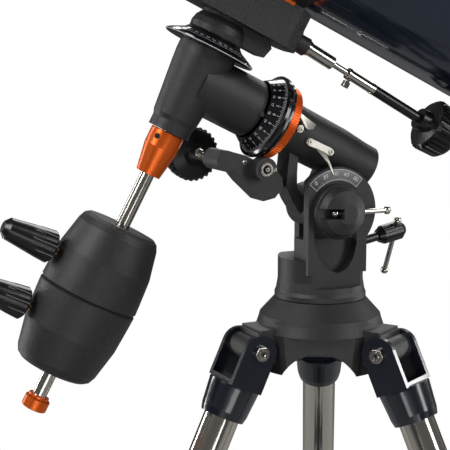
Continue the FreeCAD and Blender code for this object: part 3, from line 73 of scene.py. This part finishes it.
# each frame carries the next
AZIMUTH = shift(z=HEAD) @ turn("Z", AZIMUTH_TURN)
PIVOT = AZIMUTH @ shift(z=PIVOT_HEIGHT)
POLAR = PIVOT @ turn("Y", -LATITUDE)
RA_STILL = POLAR @ shift(x=DEC_DISTANCE, z=RA_OFFSET)
RA = RA_STILL @ turn("X", RA_ROLL)
DEC = RA @ turn("Z", DEC_ROLL)
OPTICS = DEC @ shift(z=TUBE_AXIS_HEIGHT)
ALONG_X = turn("Y", 90)
ALONG_Y = turn("X", -90)
LEGS = {side: shift(z=HEAD) @ turn("Z", around) @ shift(x=HINGE_RADIUS, z=-HINGE_DROP) @ turn("Y", -LEG_SPLAY)
        for side, around in LEG_TURNS.items()}
FOCUSER = OPTICS @ shift(x=FOCUSER_PLACE) @ turn("X", FOCUSER_TURN) @ shift(z=TUBE_RADIUS)
FINDER = OPTICS @ shift(x=FINDER_PLACE) @ turn("X", FINDER_TURN) @ shift(z=TUBE_RADIUS)
WORM = POLAR @ shift(x=WORM_PLACE, z=WORM_HEIGHT) @ turn("X", 90)
CABLE = DEC @ shift(x=CABLE_PLACE, z=CABLE_HEIGHT) @ turn("Y", CABLE_TILT) @ turn("Y", -90)

# ---------------------------------------------------------------- materials


def material(name, colour, roughness, metallic=0.0, coat=0.0, grain=0.0, grain_scale=900.0, mottle=0.0,
             brushed=False):
    """A finish of even colour, with an optional fine grain in the surface and in the tone."""
    made = bpy.data.materials.new(name)
    made.use_nodes = True
    tree = made.node_tree
    shader = tree.nodes["Principled BSDF"]
    shader.inputs["Base Color"].default_value = (*colour, 1)
    shader.inputs["Roughness"].default_value = roughness
    shader.inputs["Metallic"].default_value = metallic
    shader.inputs["Coat Weight"].default_value = coat
    shader.inputs["Coat Roughness"].default_value = 0.08
    place = tree.nodes.new("ShaderNodeTexCoord")
    source = place.outputs["Object"]
    if brushed:
        squeeze = tree.nodes.new("ShaderNodeMapping")
        squeeze.inputs["Scale"].default_value = (1, 1, 0.02)
        tree.links.new(source, squeeze.inputs["Vector"])
        source = squeeze.outputs["Vector"]
    if grain:
        noise = tree.nodes.new("ShaderNodeTexNoise")
        noise.inputs["Scale"].default_value = grain_scale
        noise.inputs["Detail"].default_value = 3
        bump = tree.nodes.new("ShaderNodeBump")
        bump.inputs["Strength"].default_value = grain
        bump.inputs["Distance"].default_value = 0.0003
        tree.links.new(source, noise.inputs["Vector"])
        tree.links.new(noise.outputs["Fac"], bump.inputs["Height"])
        tree.links.new(bump.outputs["Normal"], shader.inputs["Normal"])
    if mottle:
        patch = tree.nodes.new("ShaderNodeTexNoise")
        patch.inputs["Scale"].default_value = grain_scale * 0.6
        ramp = tree.nodes.new("ShaderNodeMix")
        ramp.data_type = "RGBA"
        ramp.inputs[6].default_value = (*[part * (1 - mottle) for part in colour], 1)
        ramp.inputs[7].default_value = (*[part * (1 + mottle) for part in colour], 1)
        tree.links.new(source, patch.inputs["Vector"])
        tree.links.new(patch.outputs["Fac"], ramp.inputs[0])
        tree.links.new(ramp.outputs[2], shader.inputs["Base Color"])
    return made


CASTING = material("powder_coat", (0.023, 0.0235, 0.024), 0.44, grain=0.9, grain_scale=1100, mottle=0.55)
ORANGE = material("orange_anodised", (0.8, 0.13, 0.01), 0.32, metallic=0.6, grain=0.15, grain_scale=2200)
TUBE_PAINT = material("tube_paint", (0.014, 0.024, 0.05), 0.22, metallic=0.55, coat=1.0, grain=0.04,
                      mottle=0.15, grain_scale=3000)
BRACKET = material("bracket_paint", (0.007, 0.01, 0.018), 0.24, coat=0.7)
STAINLESS = material("stainless", (0.74, 0.7, 0.63), 0.11, metallic=1.0, grain=0.05, brushed=True)
LEG_STEEL = material("leg_steel", (0.7, 0.67, 0.63), 0.17, metallic=1.0, grain=0.08, brushed=True)
BLACK = material("black_plastic", (0.008, 0.008, 0.009), 0.26, grain=0.1, grain_scale=1500)
NICKEL = material("nickel", (0.62, 0.59, 0.54), 0.16, metallic=1.0)
PLATE = material("plated_steel", (0.55, 0.53, 0.47), 0.32, metallic=1.0, grain=0.15, grain_scale=2000)
DIAL = material("dial_black", (0.006, 0.006, 0.008), 0.16, coat=0.6)
TRAY = material("tray_paint", (0.02, 0.021, 0.022), 0.45, grain=0.3)
MIRROR = material("silvered_glass", (0.86, 0.88, 0.9), 0.03, metallic=1.0)
FITTINGS = material("tube_fittings", (0.016, 0.017, 0.019), 0.34, grain=0.2)
RUBBER = material("rubber", (0.012, 0.012, 0.012), 0.7, grain=0.4)
BRASS = material("yellow_brass", (0.6, 0.42, 0.18), 0.3, metallic=1.0)
INK = material("white_ink", (0.75, 0.77, 0.8), 0.5)
# painted shade: near-black sheets laid where holes, wells and slots would be dark inside
PAINTED_HOLE_SHADE = material("painted_hole_shade", (0.004, 0.004, 0.004), 0.8)
LENS = material("coated_lens", (0.01, 0.02, 0.035), 0.05, coat=1.0)

SLOT_LOOK = {
    "casting": CASTING, "weight_casting": CASTING, "orange": ORANGE, "tube_paint": TUBE_PAINT,
    "bracket_paint": BRACKET, "stainless": STAINLESS, "black_plastic": BLACK, "nickel": NICKEL,
    "dial_black": DIAL, "leg_steel": LEG_STEEL, "tray_paint": TRAY, "silvered_glass": MIRROR,
    "tube_fittings": FITTINGS,
}
LOOKS = {entry["node"]: SLOT_LOOK[entry["material_slot"]] for entry in frame["record"]["subparts"]}
LOOKS.update(latitude_screw=BLACK, latitude_lock=CASTING)
# thin walls and fine teeth, whose edges are left as they are
SHARP = {"tube", "leg_tube_left", "leg_tube_right", "leg_tube_rear", "primary_mirror", "ra_lock_ring",
         "ra_worm", "dec_worm", "ra_worm_wheel", "dec_worm_wheel", "focus_knobs", "secondary_spider"}


def smooth(item, angle=32.0):
    """Shades an object smooth, with edges sharper than the angle kept crisp."""
    mesh = item.data
    mesh.shade_smooth()
    work = bmesh.new()
    work.from_mesh(mesh)
    limit = math.radians(angle)
    for edge in work.edges:
        edge.smooth = edge.is_manifold and edge.calc_face_angle(0) < limit
    work.to_mesh(mesh)
    work.free()


def round_edges(item, width):
    bevel = item.modifiers.new("rounding", "BEVEL")
    bevel.width = width / 1000
    bevel.segments = 2
    bevel.limit_method = "ANGLE"
    bevel.angle_limit = math.radians(38)
    bevel.harden_normals = True


EDGE_WIDTH = {"azimuth_base": 1.0, "tripod_hub": 1.0, "polar_housing": 1.0, "ra_worm_block": 1.1,
              "dec_saddle": 0.9, "dec_housing": 0.9, "weight_upper": 1.0, "weight_lower": 1.0,
              "leg_fittings_left": 0.9, "leg_fittings_right": 0.9, "leg_fittings_rear": 0.9}
FINE_EDGE = 0.35
for name, item in nodes.items():
    item.data.materials.clear()
    item.data.materials.append(LOOKS[name])
    for face in item.data.polygons:
        face.material_index = 0
    if name not in SHARP:
        round_edges(item, EDGE_WIDTH.get(name, FINE_EDGE))

# ---------------------------------------------------------------- helpers for the added pieces

CENTRE = 0.01  # the smallest radius of a turned outline that closes on its own axis


def piece(name, points, faces, place, look, body, slot, rounding=0.0, angle=32.0):
    """A mesh from millimetre points in a frame, riding on a body."""
    mesh = bpy.data.meshes.new(name)
    placed = [tuple(place @ Vector([value / 1000 for value in point])) for point in points]
    mesh.from_pydata(placed, [], faces)
    work = bmesh.new()
    work.from_mesh(mesh)
    bmesh.ops.remove_doubles(work, verts=work.verts, dist=1e-7)
    bmesh.ops.recalc_face_normals(work, faces=work.faces)
    work.to_mesh(mesh)
    work.free()
    mesh.materials.append(look)
    item = bpy.data.objects.new(name, mesh)
    bpy.context.scene.collection.objects.link(item)
    smooth(item, angle)
    if rounding:
        round_edges(item, rounding)
    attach(item, body)
    return item


def lathe(profile, steps=48):
    """Points and faces of a (radius, height) outline turned about Z."""
    points, faces = [], []
    for step in range(steps):
        angle = math.radians(360 * step / steps)
        points += [(radius * math.cos(angle), radius * math.sin(angle), height) for radius, height in profile]
    count = len(profile)
    for step in range(steps):
        here, there = step * count, (step + 1) % steps * count
        for index in range(count):
            following = (index + 1) % count
            faces.append((here + index, here + following, there + following, there + index))
    return points, faces


def thicken(item):
    """Gives a folded sheet the thickness of pressed steel."""
    item.modifiers.new("thickness", "SOLIDIFY").thickness = 0.0009


def prism(outline, low, high):
    """Points and faces of an (x, z) outline between two places along Y."""
    count = len(outline)
    points = [(x, low, z) for x, z in outline] + [(x, high, z) for x, z in outline]
    faces = [tuple(range(count)), tuple(reversed(range(count, 2 * count)))]
    for index in range(count):
        following = (index + 1) % count
        faces.append((index, following, count + following, count + index))
    return points, faces


def lettering(name, words, body):
    """White figures: each word is (text, height in mm, place)."""
    work = bmesh.new()
    for text, height, place in words:
        curve = bpy.data.curves.new("figure", "FONT")
        curve.body = text
        curve.align_x = "CENTER"
        curve.align_y = "CENTER"
        curve.size = height / 1000
        curve.resolution_u = 3
        holder = bpy.data.objects.new("figure", curve)
        bpy.context.scene.collection.objects.link(holder)
        bpy.context.view_layer.update()
        mesh = bpy.data.meshes.new_from_object(holder.evaluated_get(bpy.context.evaluated_depsgraph_get()))
        mesh.transform(place)
        work.from_mesh(mesh)
        bpy.data.objects.remove(holder)
        bpy.data.meshes.remove(mesh)
        bpy.data.curves.remove(curve)
    mesh = bpy.data.meshes.new(name)
    work.to_mesh(mesh)
    work.free()
    mesh.materials.append(INK)
    item = bpy.data.objects.new(name, mesh)
    bpy.context.scene.collection.objects.link(item)
    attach(item, body)


def strokes(name, lines, body):
    """Thin white strokes: each is (place, width, length), centred on the place's own X and Y."""
    points, faces = [], []
    for place, width, length in lines:
        first = len(points)
        for across, along in ((-1, -1), (1, -1), (1, 1), (-1, 1)):
            points.append(place @ Vector((across * width / 2000, along * length / 2000, 0)))
        faces.append((first, first + 1, first + 2, first + 3))
    mesh = bpy.data.meshes.new(name)
    mesh.from_pydata([tuple(point) for point in points], [], faces)
    mesh.materials.append(INK)
    item = bpy.data.objects.new(name, mesh)
    bpy.context.scene.collection.objects.link(item)
    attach(item, body)


def on_cone(line, outer, inner, angle, share, lift=0.08):
    """A place on a cone about a line: X runs round it, Y up its slope to the outer edge, Z out of it."""
    (outer_radius, outer_height), (inner_radius, inner_height) = outer, inner
    around = math.radians(angle)
    radius = outer_radius + (inner_radius - outer_radius) * share
    height = outer_height + (inner_height - outer_height) * share
    outward = Vector((math.cos(around), math.sin(around), 0))
    slope = outward * (outer_radius - inner_radius) + Vector((0, 0, outer_height - inner_height))
    slope = slope.normalized()
    across = Vector((-math.sin(around), math.cos(around), 0))
    normal = across.cross(slope)
    sign = 1 if normal.dot(outward) > 0 else -1
    across, normal = across * sign, normal * sign
    spot = (outward * radius + Vector((0, 0, height)) + normal * lift) / 1000
    local = Matrix((across, slope, normal)).transposed().to_4x4()
    local.translation = spot
    return line @ local


def screw(name, place, radius, height, body, slot, look=PLATE):
    """A small round screw head, with a thin near-black cross laid on its top as painted shade for a slot."""
    head = [(CENTRE, 0), (radius, 0), (radius, height * 0.55), (radius * 0.8, height), (CENTRE, height)]
    piece(name, *lathe(head, 24), place, look, body, slot)
    arm, half = radius * 0.55, radius * 0.14
    cross = [(arm, half), (half, half), (half, arm), (-half, arm), (-half, half), (-arm, half),
             (-arm, -half), (-half, -half), (-half, -arm), (half, -arm), (half, -half), (arm, -half)]
    # the slot is not cut: a thin near-black cross on the head is painted shade
    piece(name + "_slot", *prism(cross, -height - 0.03, -height), place @ ALONG_Y, PAINTED_HOLE_SHADE, body, slot)


# ---------------------------------------------------------------- latitude scale and pointer

PLATE_FACE = 29.5
SCALE_START, SCALE_STEP = 50, 0.92
TICK_LIFT, FIGURE_LIFT = 0.42, 0.44


def on_plate(angle, radius, lift):
    """A place on the near ear: Y points away from the pivot, Z towards the viewer's side."""
    around = math.radians(angle)
    local = Matrix(((-math.sin(around), math.cos(around), 0),
                    (0, 0, 1),
                    (math.cos(around), math.sin(around), 0))).to_4x4()
    spot = Vector((radius * math.cos(around), PLATE_FACE + lift, radius * math.sin(around)))
    local.translation = spot / 1000
    return PIVOT @ local


def scale_angle(value):
    return SCALE_START + value * SCALE_STEP


def arc_band(inner, outer, first, last, low, high, steps=32):
    """Points and faces of a band between two radii and two angles."""
    angles = [math.radians(first + (last - first) * step / steps) for step in range(steps + 1)]
    outline = [(outer * math.cos(angle), outer * math.sin(angle)) for angle in angles]
    outline += [(inner * math.cos(angle), inner * math.sin(angle)) for angle in reversed(angles)]
    return prism(outline, low, high)


piece("latitude_scale", *arc_band(26.8, 36.9, 41, 133, PLATE_FACE - 0.2, PLATE_FACE + 0.35), PIVOT, DIAL,
      "azimuth", "casting")
for radius in (27.4, 36.3):
    piece(f"latitude_scale_edge_{int(radius)}",
          *arc_band(radius - 0.18, radius + 0.18, 41.8, 132.2, PLATE_FACE, PLATE_FACE + TICK_LIFT), PIVOT,
          INK, "azimuth", "casting")
ticks = [(on_plate(angle, 31.85, TICK_LIFT), 0.36, 8.9) for angle in (41.9, 132.1)]
for value in range(0, 85, 5):
    ticks.append((on_plate(scale_angle(value), 28.7, TICK_LIFT), 0.22, 1.6 if value % 10 == 0 else 1.0))
strokes("latitude_ticks", ticks, "azimuth")
lettering("latitude_figures", [(str(value), 5.2, on_plate(scale_angle(value), 32.6, FIGURE_LIFT))
                               for value in range(0, 100, 20)], "azimuth")

plate = [(23.9, 41.6), (26.3, 40.5), (29.2, 40.6), (46.2, 40.2), (48.8, 40.0), (51.4, 41.2),
         (52.2, 43.4), (51.2, 45.8), (48.8, 46.8), (26.3, 47.3), (23.8, 46.1), (22.9, 43.9)]
piece("latitude_pointer_plate", *prism(plate, 22.0, 24.6), POLAR, PLATE, "polar", "nickel", rounding=0.3)
blade = [(44.0, 24.0, 42.0), (30.5, 24.0, 42.3), (24.0, 30.4, 33.0), (17.6, 31.0, 25.8), (27.5, 30.4, 33.4)]
blade_faces = [(0, 1, 2, 4), (2, 3, 4)]
sheet = piece("latitude_pointer", blade, blade_faces, POLAR, PLATE, "polar", "nickel")
thicken(sheet)
for index, (x, z) in enumerate(((48.8, 43.4), (26.3, 43.9))):
    screw(f"pointer_screw_{index}", POLAR @ shift(x, 24.5, z) @ ALONG_Y, 2.3, 1.3, "polar", "nickel")

# ---------------------------------------------------------------- right ascension index, dial and ring

index_plate = [(72.6, 25.0, 62.2), (66.0, 26.4, 55.6), (60.0, 25.2, 52.5), (55.5, 24.4, 52.0),
               (51.5, 25.0, 54.5), (51.0, 25.6, 58.8)]
index_faces = [(0, 1, 2), (0, 2, 3), (0, 3, 4), (0, 4, 5)]
sheet = piece("ra_index", index_plate, index_faces, POLAR, PLATE, "polar", "nickel", angle=80)
thicken(sheet)
foot = [(58.8, 49.6), (60.2, 46.4), (63.6, 45.8), (65.2, 48.6), (64.6, 52.0), (60.5, 54.0)]
piece("ra_index_foot", *prism(foot, 22.0, 24.8), POLAR, PLATE, "polar", "nickel", rounding=0.3)
screw("ra_index_screw", POLAR @ shift(61.9, 24.7, 49.0) @ ALONG_Y, 2.2, 1.3, "polar", "nickel")

RA_LINE = RA_STILL @ ALONG_X
RA_RIM, RA_OUTER, RA_INNER = (37.6, -76.0), (34.6, -72.5), (27.5, -61.0)
marks = []
for step in range(144):
    angle = step * 2.5
    whole, half = step % 6 == 0, step % 3 == 0
    marks.append((on_cone(RA_LINE, RA_OUTER, RA_INNER, angle, 0.17 if whole else 0.12 if half else 0.09),
                  0.26, 4.4 if whole else 3.2 if half else 2.2))
for step in range(240):
    marks.append((on_cone(RA_LINE, RA_RIM, RA_OUTER, step * 1.5, 0.55), 0.2, 2.2))
strokes("ra_dial_marks", marks, "setting_circle")
lettering("ra_dial_figures",
          [(str(hour), 3.7, on_cone(RA_LINE, RA_OUTER, RA_INNER, hour * 15, 0.52)) for hour in range(24)]
          + [(str((24 - hour) % 24), 2.9, on_cone(RA_LINE, RA_OUTER, RA_INNER, hour * 15, 0.84))
             for hour in range(24)], "setting_circle")

# ---------------------------------------------------------------- declination dial

DEC_OUTER, DEC_INNER = (36.0, 31.8), (26.5, 36.5)
marks = []
for step in range(180):
    whole = step % 5 == 0
    share, length = (0.14, 2.8) if whole else (0.1, 1.8)
    marks.append((on_cone(RA, DEC_OUTER, DEC_INNER, step * 2, share), 0.24, length))
strokes("dec_dial_marks", marks, "dec_circle")
lettering("dec_dial_figures",
          [(str(90 - abs(90 - 10 * step % 180)), 3.2, on_cone(RA, DEC_OUTER, DEC_INNER, step * 10, 0.52))
           for step in range(36)], "dec_circle")
piece("dec_dial_line", *lathe([(39.85, 28.0), (40.1, 28.0), (40.1, 28.5), (39.85, 28.5)], 96), RA, INK,
      "dec_circle", "dial_black")

# ---------------------------------------------------------------- small metal parts of the mount

TENSION = POLAR @ shift(76, 24.0, 5.5) @ ALONG_Y
piece("tension_ring", *lathe([(3.2, 0), (6.3, 0), (6.3, 1.3), (5.6, 1.9), (3.9, 1.9), (3.2, 1.2)], 40),
      TENSION, NICKEL, "polar", "nickel")
# painted shade: a thin near-black disc fills the hole in the tension ring
piece("tension_well_shade", *lathe([(CENTRE, 0), (3.25, 0), (3.25, 0.2), (CENTRE, 0.2)], 32),
      TENSION, PAINTED_HOLE_SHADE, "polar", "nickel")
piece("tension_screw", *lathe([(0.9, 0), (2.3, 0), (2.3, 2.1), (1.9, 2.5), (0.9, 2.5)], 6),
      TENSION, NICKEL, "polar", "nickel")
screw("worm_cap_screw", POLAR @ shift(69, 24.0, 8.5) @ ALONG_Y, 1.9, 1.6, "polar", "nickel", NICKEL)
screw("worm_block_screw", POLAR @ shift(92, 13.0, 4.0) @ ALONG_Y, 2.2, 1.2, "polar", "nickel", NICKEL)

THUMB = WORM @ shift(z=24) @ turn("Y", 90)
thumbscrew = [(CENTRE, 4), (1.6, 4), (1.6, 8.5), (3.6, 8.9), (3.6, 12.2), (3.0, 12.8), (CENTRE, 12.8)]
piece("ra_thumbscrew", *lathe(thumbscrew, 28), THUMB, NICKEL, "ra_slow", "nickel")
piece("ra_shaft_sleeve", *lathe([(4.8, 18.5), (6.0, 18.5), (6.0, 30), (4.8, 30)], 32), WORM, NICKEL,
      "ra_slow", "nickel")

screw("arm_screw", RA @ shift(-58.6, 25.2, -1.4) @ ALONG_Y, 1.9, 2.6, "ra", "nickel", NICKEL)
# painted shade: a thin near-black disc on the collar stands for a hole
piece("collar_hole_shade", *lathe([(CENTRE, 0), (2.4, 0), (2.4, 0.25), (CENTRE, 0.25)], 24),
      RA @ turn("Z", -49) @ shift(0, 14.4, -56.0) @ ALONG_Y, PAINTED_HOLE_SHADE, "ra", "orange")

# flexible shaft: chrome collar and coupling rings, and a black sheath over the rod
for name, low, high, radius in (("cable_collar", 0.6, 3.4, 6.6), ("coupling_collar", 46, 49, 5.2),
                                ("coupling_lip", 73, 76, 5.0)):
    piece(name, *lathe([(radius - 2.4, low), (radius, low), (radius, high), (radius - 2.4, high)], 32), CABLE,
          NICKEL, "dec_slow", "nickel", rounding=0.2)
piece("cable_sheath", *lathe([(4.2, 76.2), (4.75, 76.2), (4.75, 136), (4.2, 136)], 32), CABLE, BLACK,
      "dec_slow", "black_plastic")

# orange key beside the saddle
piece("saddle_key", *prism([(-41, 90), (-24, 90), (-24, 95), (-41, 95)], 24.5, 28.6), DEC, ORANGE, "dec",
      "orange", rounding=0.6)

# counterweight screws
for side in ("upper", "lower"):
    place = RA @ shift(z=-177 if side == "upper" else -229) @ ALONG_X
    rings = []
    for step in range(5):
        low = 40.5 + step * 1.3
        rings += [(3.1, low), (3.9, low + 0.65)]
    rings += [(3.1, 47.0), (2.6, 47.0), (2.6, 40.5)]
    piece(f"weight_thread_{side}", *lathe(rings, 32), place, BRASS, f"weight_knob_{side}", "nickel")

# ---------------------------------------------------------------- tripod hardware

BRACKET_FACE = 23.3
HEX_NUT = [(3.5, 0), (6.9, 0), (6.9, 3.6), (6.3, 4.1), (3.9, 4.1), (3.5, 3.7)]
BOLT_END = [(1.5, 3.4), (3.45, 3.4), (3.45, 4.4), (3.0, 4.8), (1.9, 4.8), (1.5, 4.2)]
# painted shade: a thin near-black disc inside each bolt end's bore
BOLT_WELL_SHADE = [(CENTRE, 3.5), (1.55, 3.5), (1.55, 3.6), (CENTRE, 3.6)]
BOOT = [(CENTRE, -814), (12.4, -814), (19.4, -796.2), (19.4, -789.6), (15.9, -785.6), (15.9, -770),
        (16.9, -769.4), (16.9, -766), (15.9, -765.4), (13.6, -765.4), (13.6, -768), (CENTRE, -768)]
for side, around in LEG_TURNS.items():
    for sign, end in ((-1, "far"), (1, "near")):
        hinge = shift(x=HINGE_RADIUS, y=sign * BRACKET_FACE, z=-HINGE_DROP)
        place = shift(z=HEAD) @ turn("Z", around) @ hinge @ turn("X", -90 * sign)
        piece(f"bolt_nut_{side}_{end}", *lathe(HEX_NUT, 6), place, NICKEL, "tripod_head", "nickel",
              rounding=0.25)
        piece(f"bolt_end_{side}_{end}", *lathe(BOLT_END, 24), place, NICKEL, "tripod_head", "nickel")
        # painted shade inside the bolt end
        piece(f"bolt_well_shade_{side}_{end}", *lathe(BOLT_WELL_SHADE, 20), place, PAINTED_HOLE_SHADE, "tripod_head", "nickel")
    points, faces = lathe(BOOT, 48)
    floor_points = []
    for point in points:
        spot = LEGS[side] @ Vector([value / 1000 for value in point])
        spot.z = max(spot.z, 0.0)
        floor_points.append(tuple(value * 1000 for value in LEGS[side].inverted() @ spot))
    piece(f"rubber_foot_{side}", floor_points, faces, LEGS[side], RUBBER, f"lower_leg_{side}", "leg_steel")
    piece(f"clamp_insert_{side}", *lathe([(20.05, -596.5), (20.9, -596), (20.9, -590), (20.05, -589.5)], 64),
          LEGS[side], BLACK, f"leg_{side}", "black_plastic")

# ---------------------------------------------------------------- optics

piece("finder_lens", *lathe([(CENTRE, 0), (17.3, 0), (17.3, 1), (12, 2.2), (6, 2.9), (CENTRE, 3.1)], 48),
      FINDER @ shift(x=51, z=44) @ ALONG_X, LENS, "dec", "tube_fittings")
piece("finder_eye_lens", *lathe([(CENTRE, 0), (7.8, 0), (7.8, 0.6), (4, 1.1), (CENTRE, 1.3)], 32),
      FINDER @ shift(x=-58.0, z=44) @ turn("Y", -90), LENS, "dec", "tube_fittings")
piece("eyepiece_lens", *lathe([(CENTRE, 0), (8.9, 0), (8.9, 0.6), (5, 1.2), (CENTRE, 1.5)], 40),
      FOCUSER @ shift(z=96.3), LENS, "drawtube", "tube_fittings")
piece("eyepiece_grip", *lathe([(18.0, 70), (18.5, 71), (18.5, 88), (18.0, 89)], 64), FOCUSER, RUBBER,
      "drawtube", "tube_fittings")

# ---------------------------------------------------------------- floor, light and camera



def white_to_camera(tree, shading, glow, output):
    """Shows a plain white to the camera and the given shading to every other ray."""
    glow.inputs["Color"].default_value = (1, 1, 1, 1)
    ray = tree.nodes.new("ShaderNodeLightPath")
    choice = tree.nodes.new("ShaderNodeMixShader")
    tree.links.new(ray.outputs["Is Camera Ray"], choice.inputs[0])
    tree.links.new(shading.outputs[0], choice.inputs[1])
    tree.links.new(glow.outputs[0], choice.inputs[2])
    tree.links.new(choice.outputs[0], tree.nodes[output].inputs["Surface"])


FLOOR_REACH, FLOOR_DEPTH = 30, -0.0004
corners = [(across * FLOOR_REACH, along * FLOOR_REACH, FLOOR_DEPTH)
           for across, along in ((-1, -1), (1, -1), (1, 1), (-1, 1))]
floor_mesh = bpy.data.meshes.new("floor")
floor_mesh.from_pydata(corners, [], [(0, 1, 2, 3)])
floor_look = material("floor_paper", (0.3, 0.3, 0.3), 0.9)
floor_tree = floor_look.node_tree
white_to_camera(floor_tree, floor_tree.nodes["Principled BSDF"], floor_tree.nodes.new("ShaderNodeEmission"),
                "Material Output")
floor_mesh.materials.append(floor_look)
floor = bpy.data.objects.new("floor", floor_mesh)
bpy.context.scene.collection.objects.link(floor)

scene = bpy.context.scene
world = bpy.data.worlds.new("studio")
scene.world = world
world.use_nodes = True
lit = world.node_tree.nodes["Background"]
lit.inputs["Color"].default_value = (1, 1, 1, 1)
lit.inputs["Strength"].default_value = 0.1
white_to_camera(world.node_tree, lit, world.node_tree.nodes.new("ShaderNodeBackground"), "World Output")
scene.view_settings.view_transform = "Standard"


def lamp(name, spot, target, size, watts):
    data = bpy.data.lights.new(name, "AREA")
    data.shape = "RECTANGLE"
    data.size, data.size_y = size
    data.energy = watts
    item = bpy.data.objects.new(name, data)
    item.location = spot
    item.rotation_euler = (Vector(target) - Vector(spot)).to_track_quat("-Z", "Y").to_euler()
    scene.collection.objects.link(item)


centre = (0, 0, HEAD / 1000 + 0.1)
lamp("key", (-1.5, -1.3, 2.3), centre, (0.9, 1.3), 32)
lamp("fill", (1.7, -0.9, 1.5), centre, (0.5, 1.8), 16)
lamp("back", (0.3, 1.8, 2.3), centre, (1.6, 0.8), 22)
lamp("low", (0.2, -2.2, 0.3), centre, (1.8, 0.4), 8)
lamp("left_strip", (-1.5, 0.5, 0.9), centre, (0.14, 1.9), 9)
lamp("right_strip", (1.4, 0.7, 0.9), centre, (0.14, 1.9), 9)

camera = bpy.data.objects.new("camera", bpy.data.cameras.new("camera"))
camera.data.lens = 103.4
camera.data.sensor_width = 36
camera.data.clip_end = 60
camera.location = (0, -1.141, HEAD / 1000 + 0.234)
camera.rotation_euler = (math.radians(81.5), 0, math.radians(4.28))
scene.collection.objects.link(camera)
scene.camera = camera
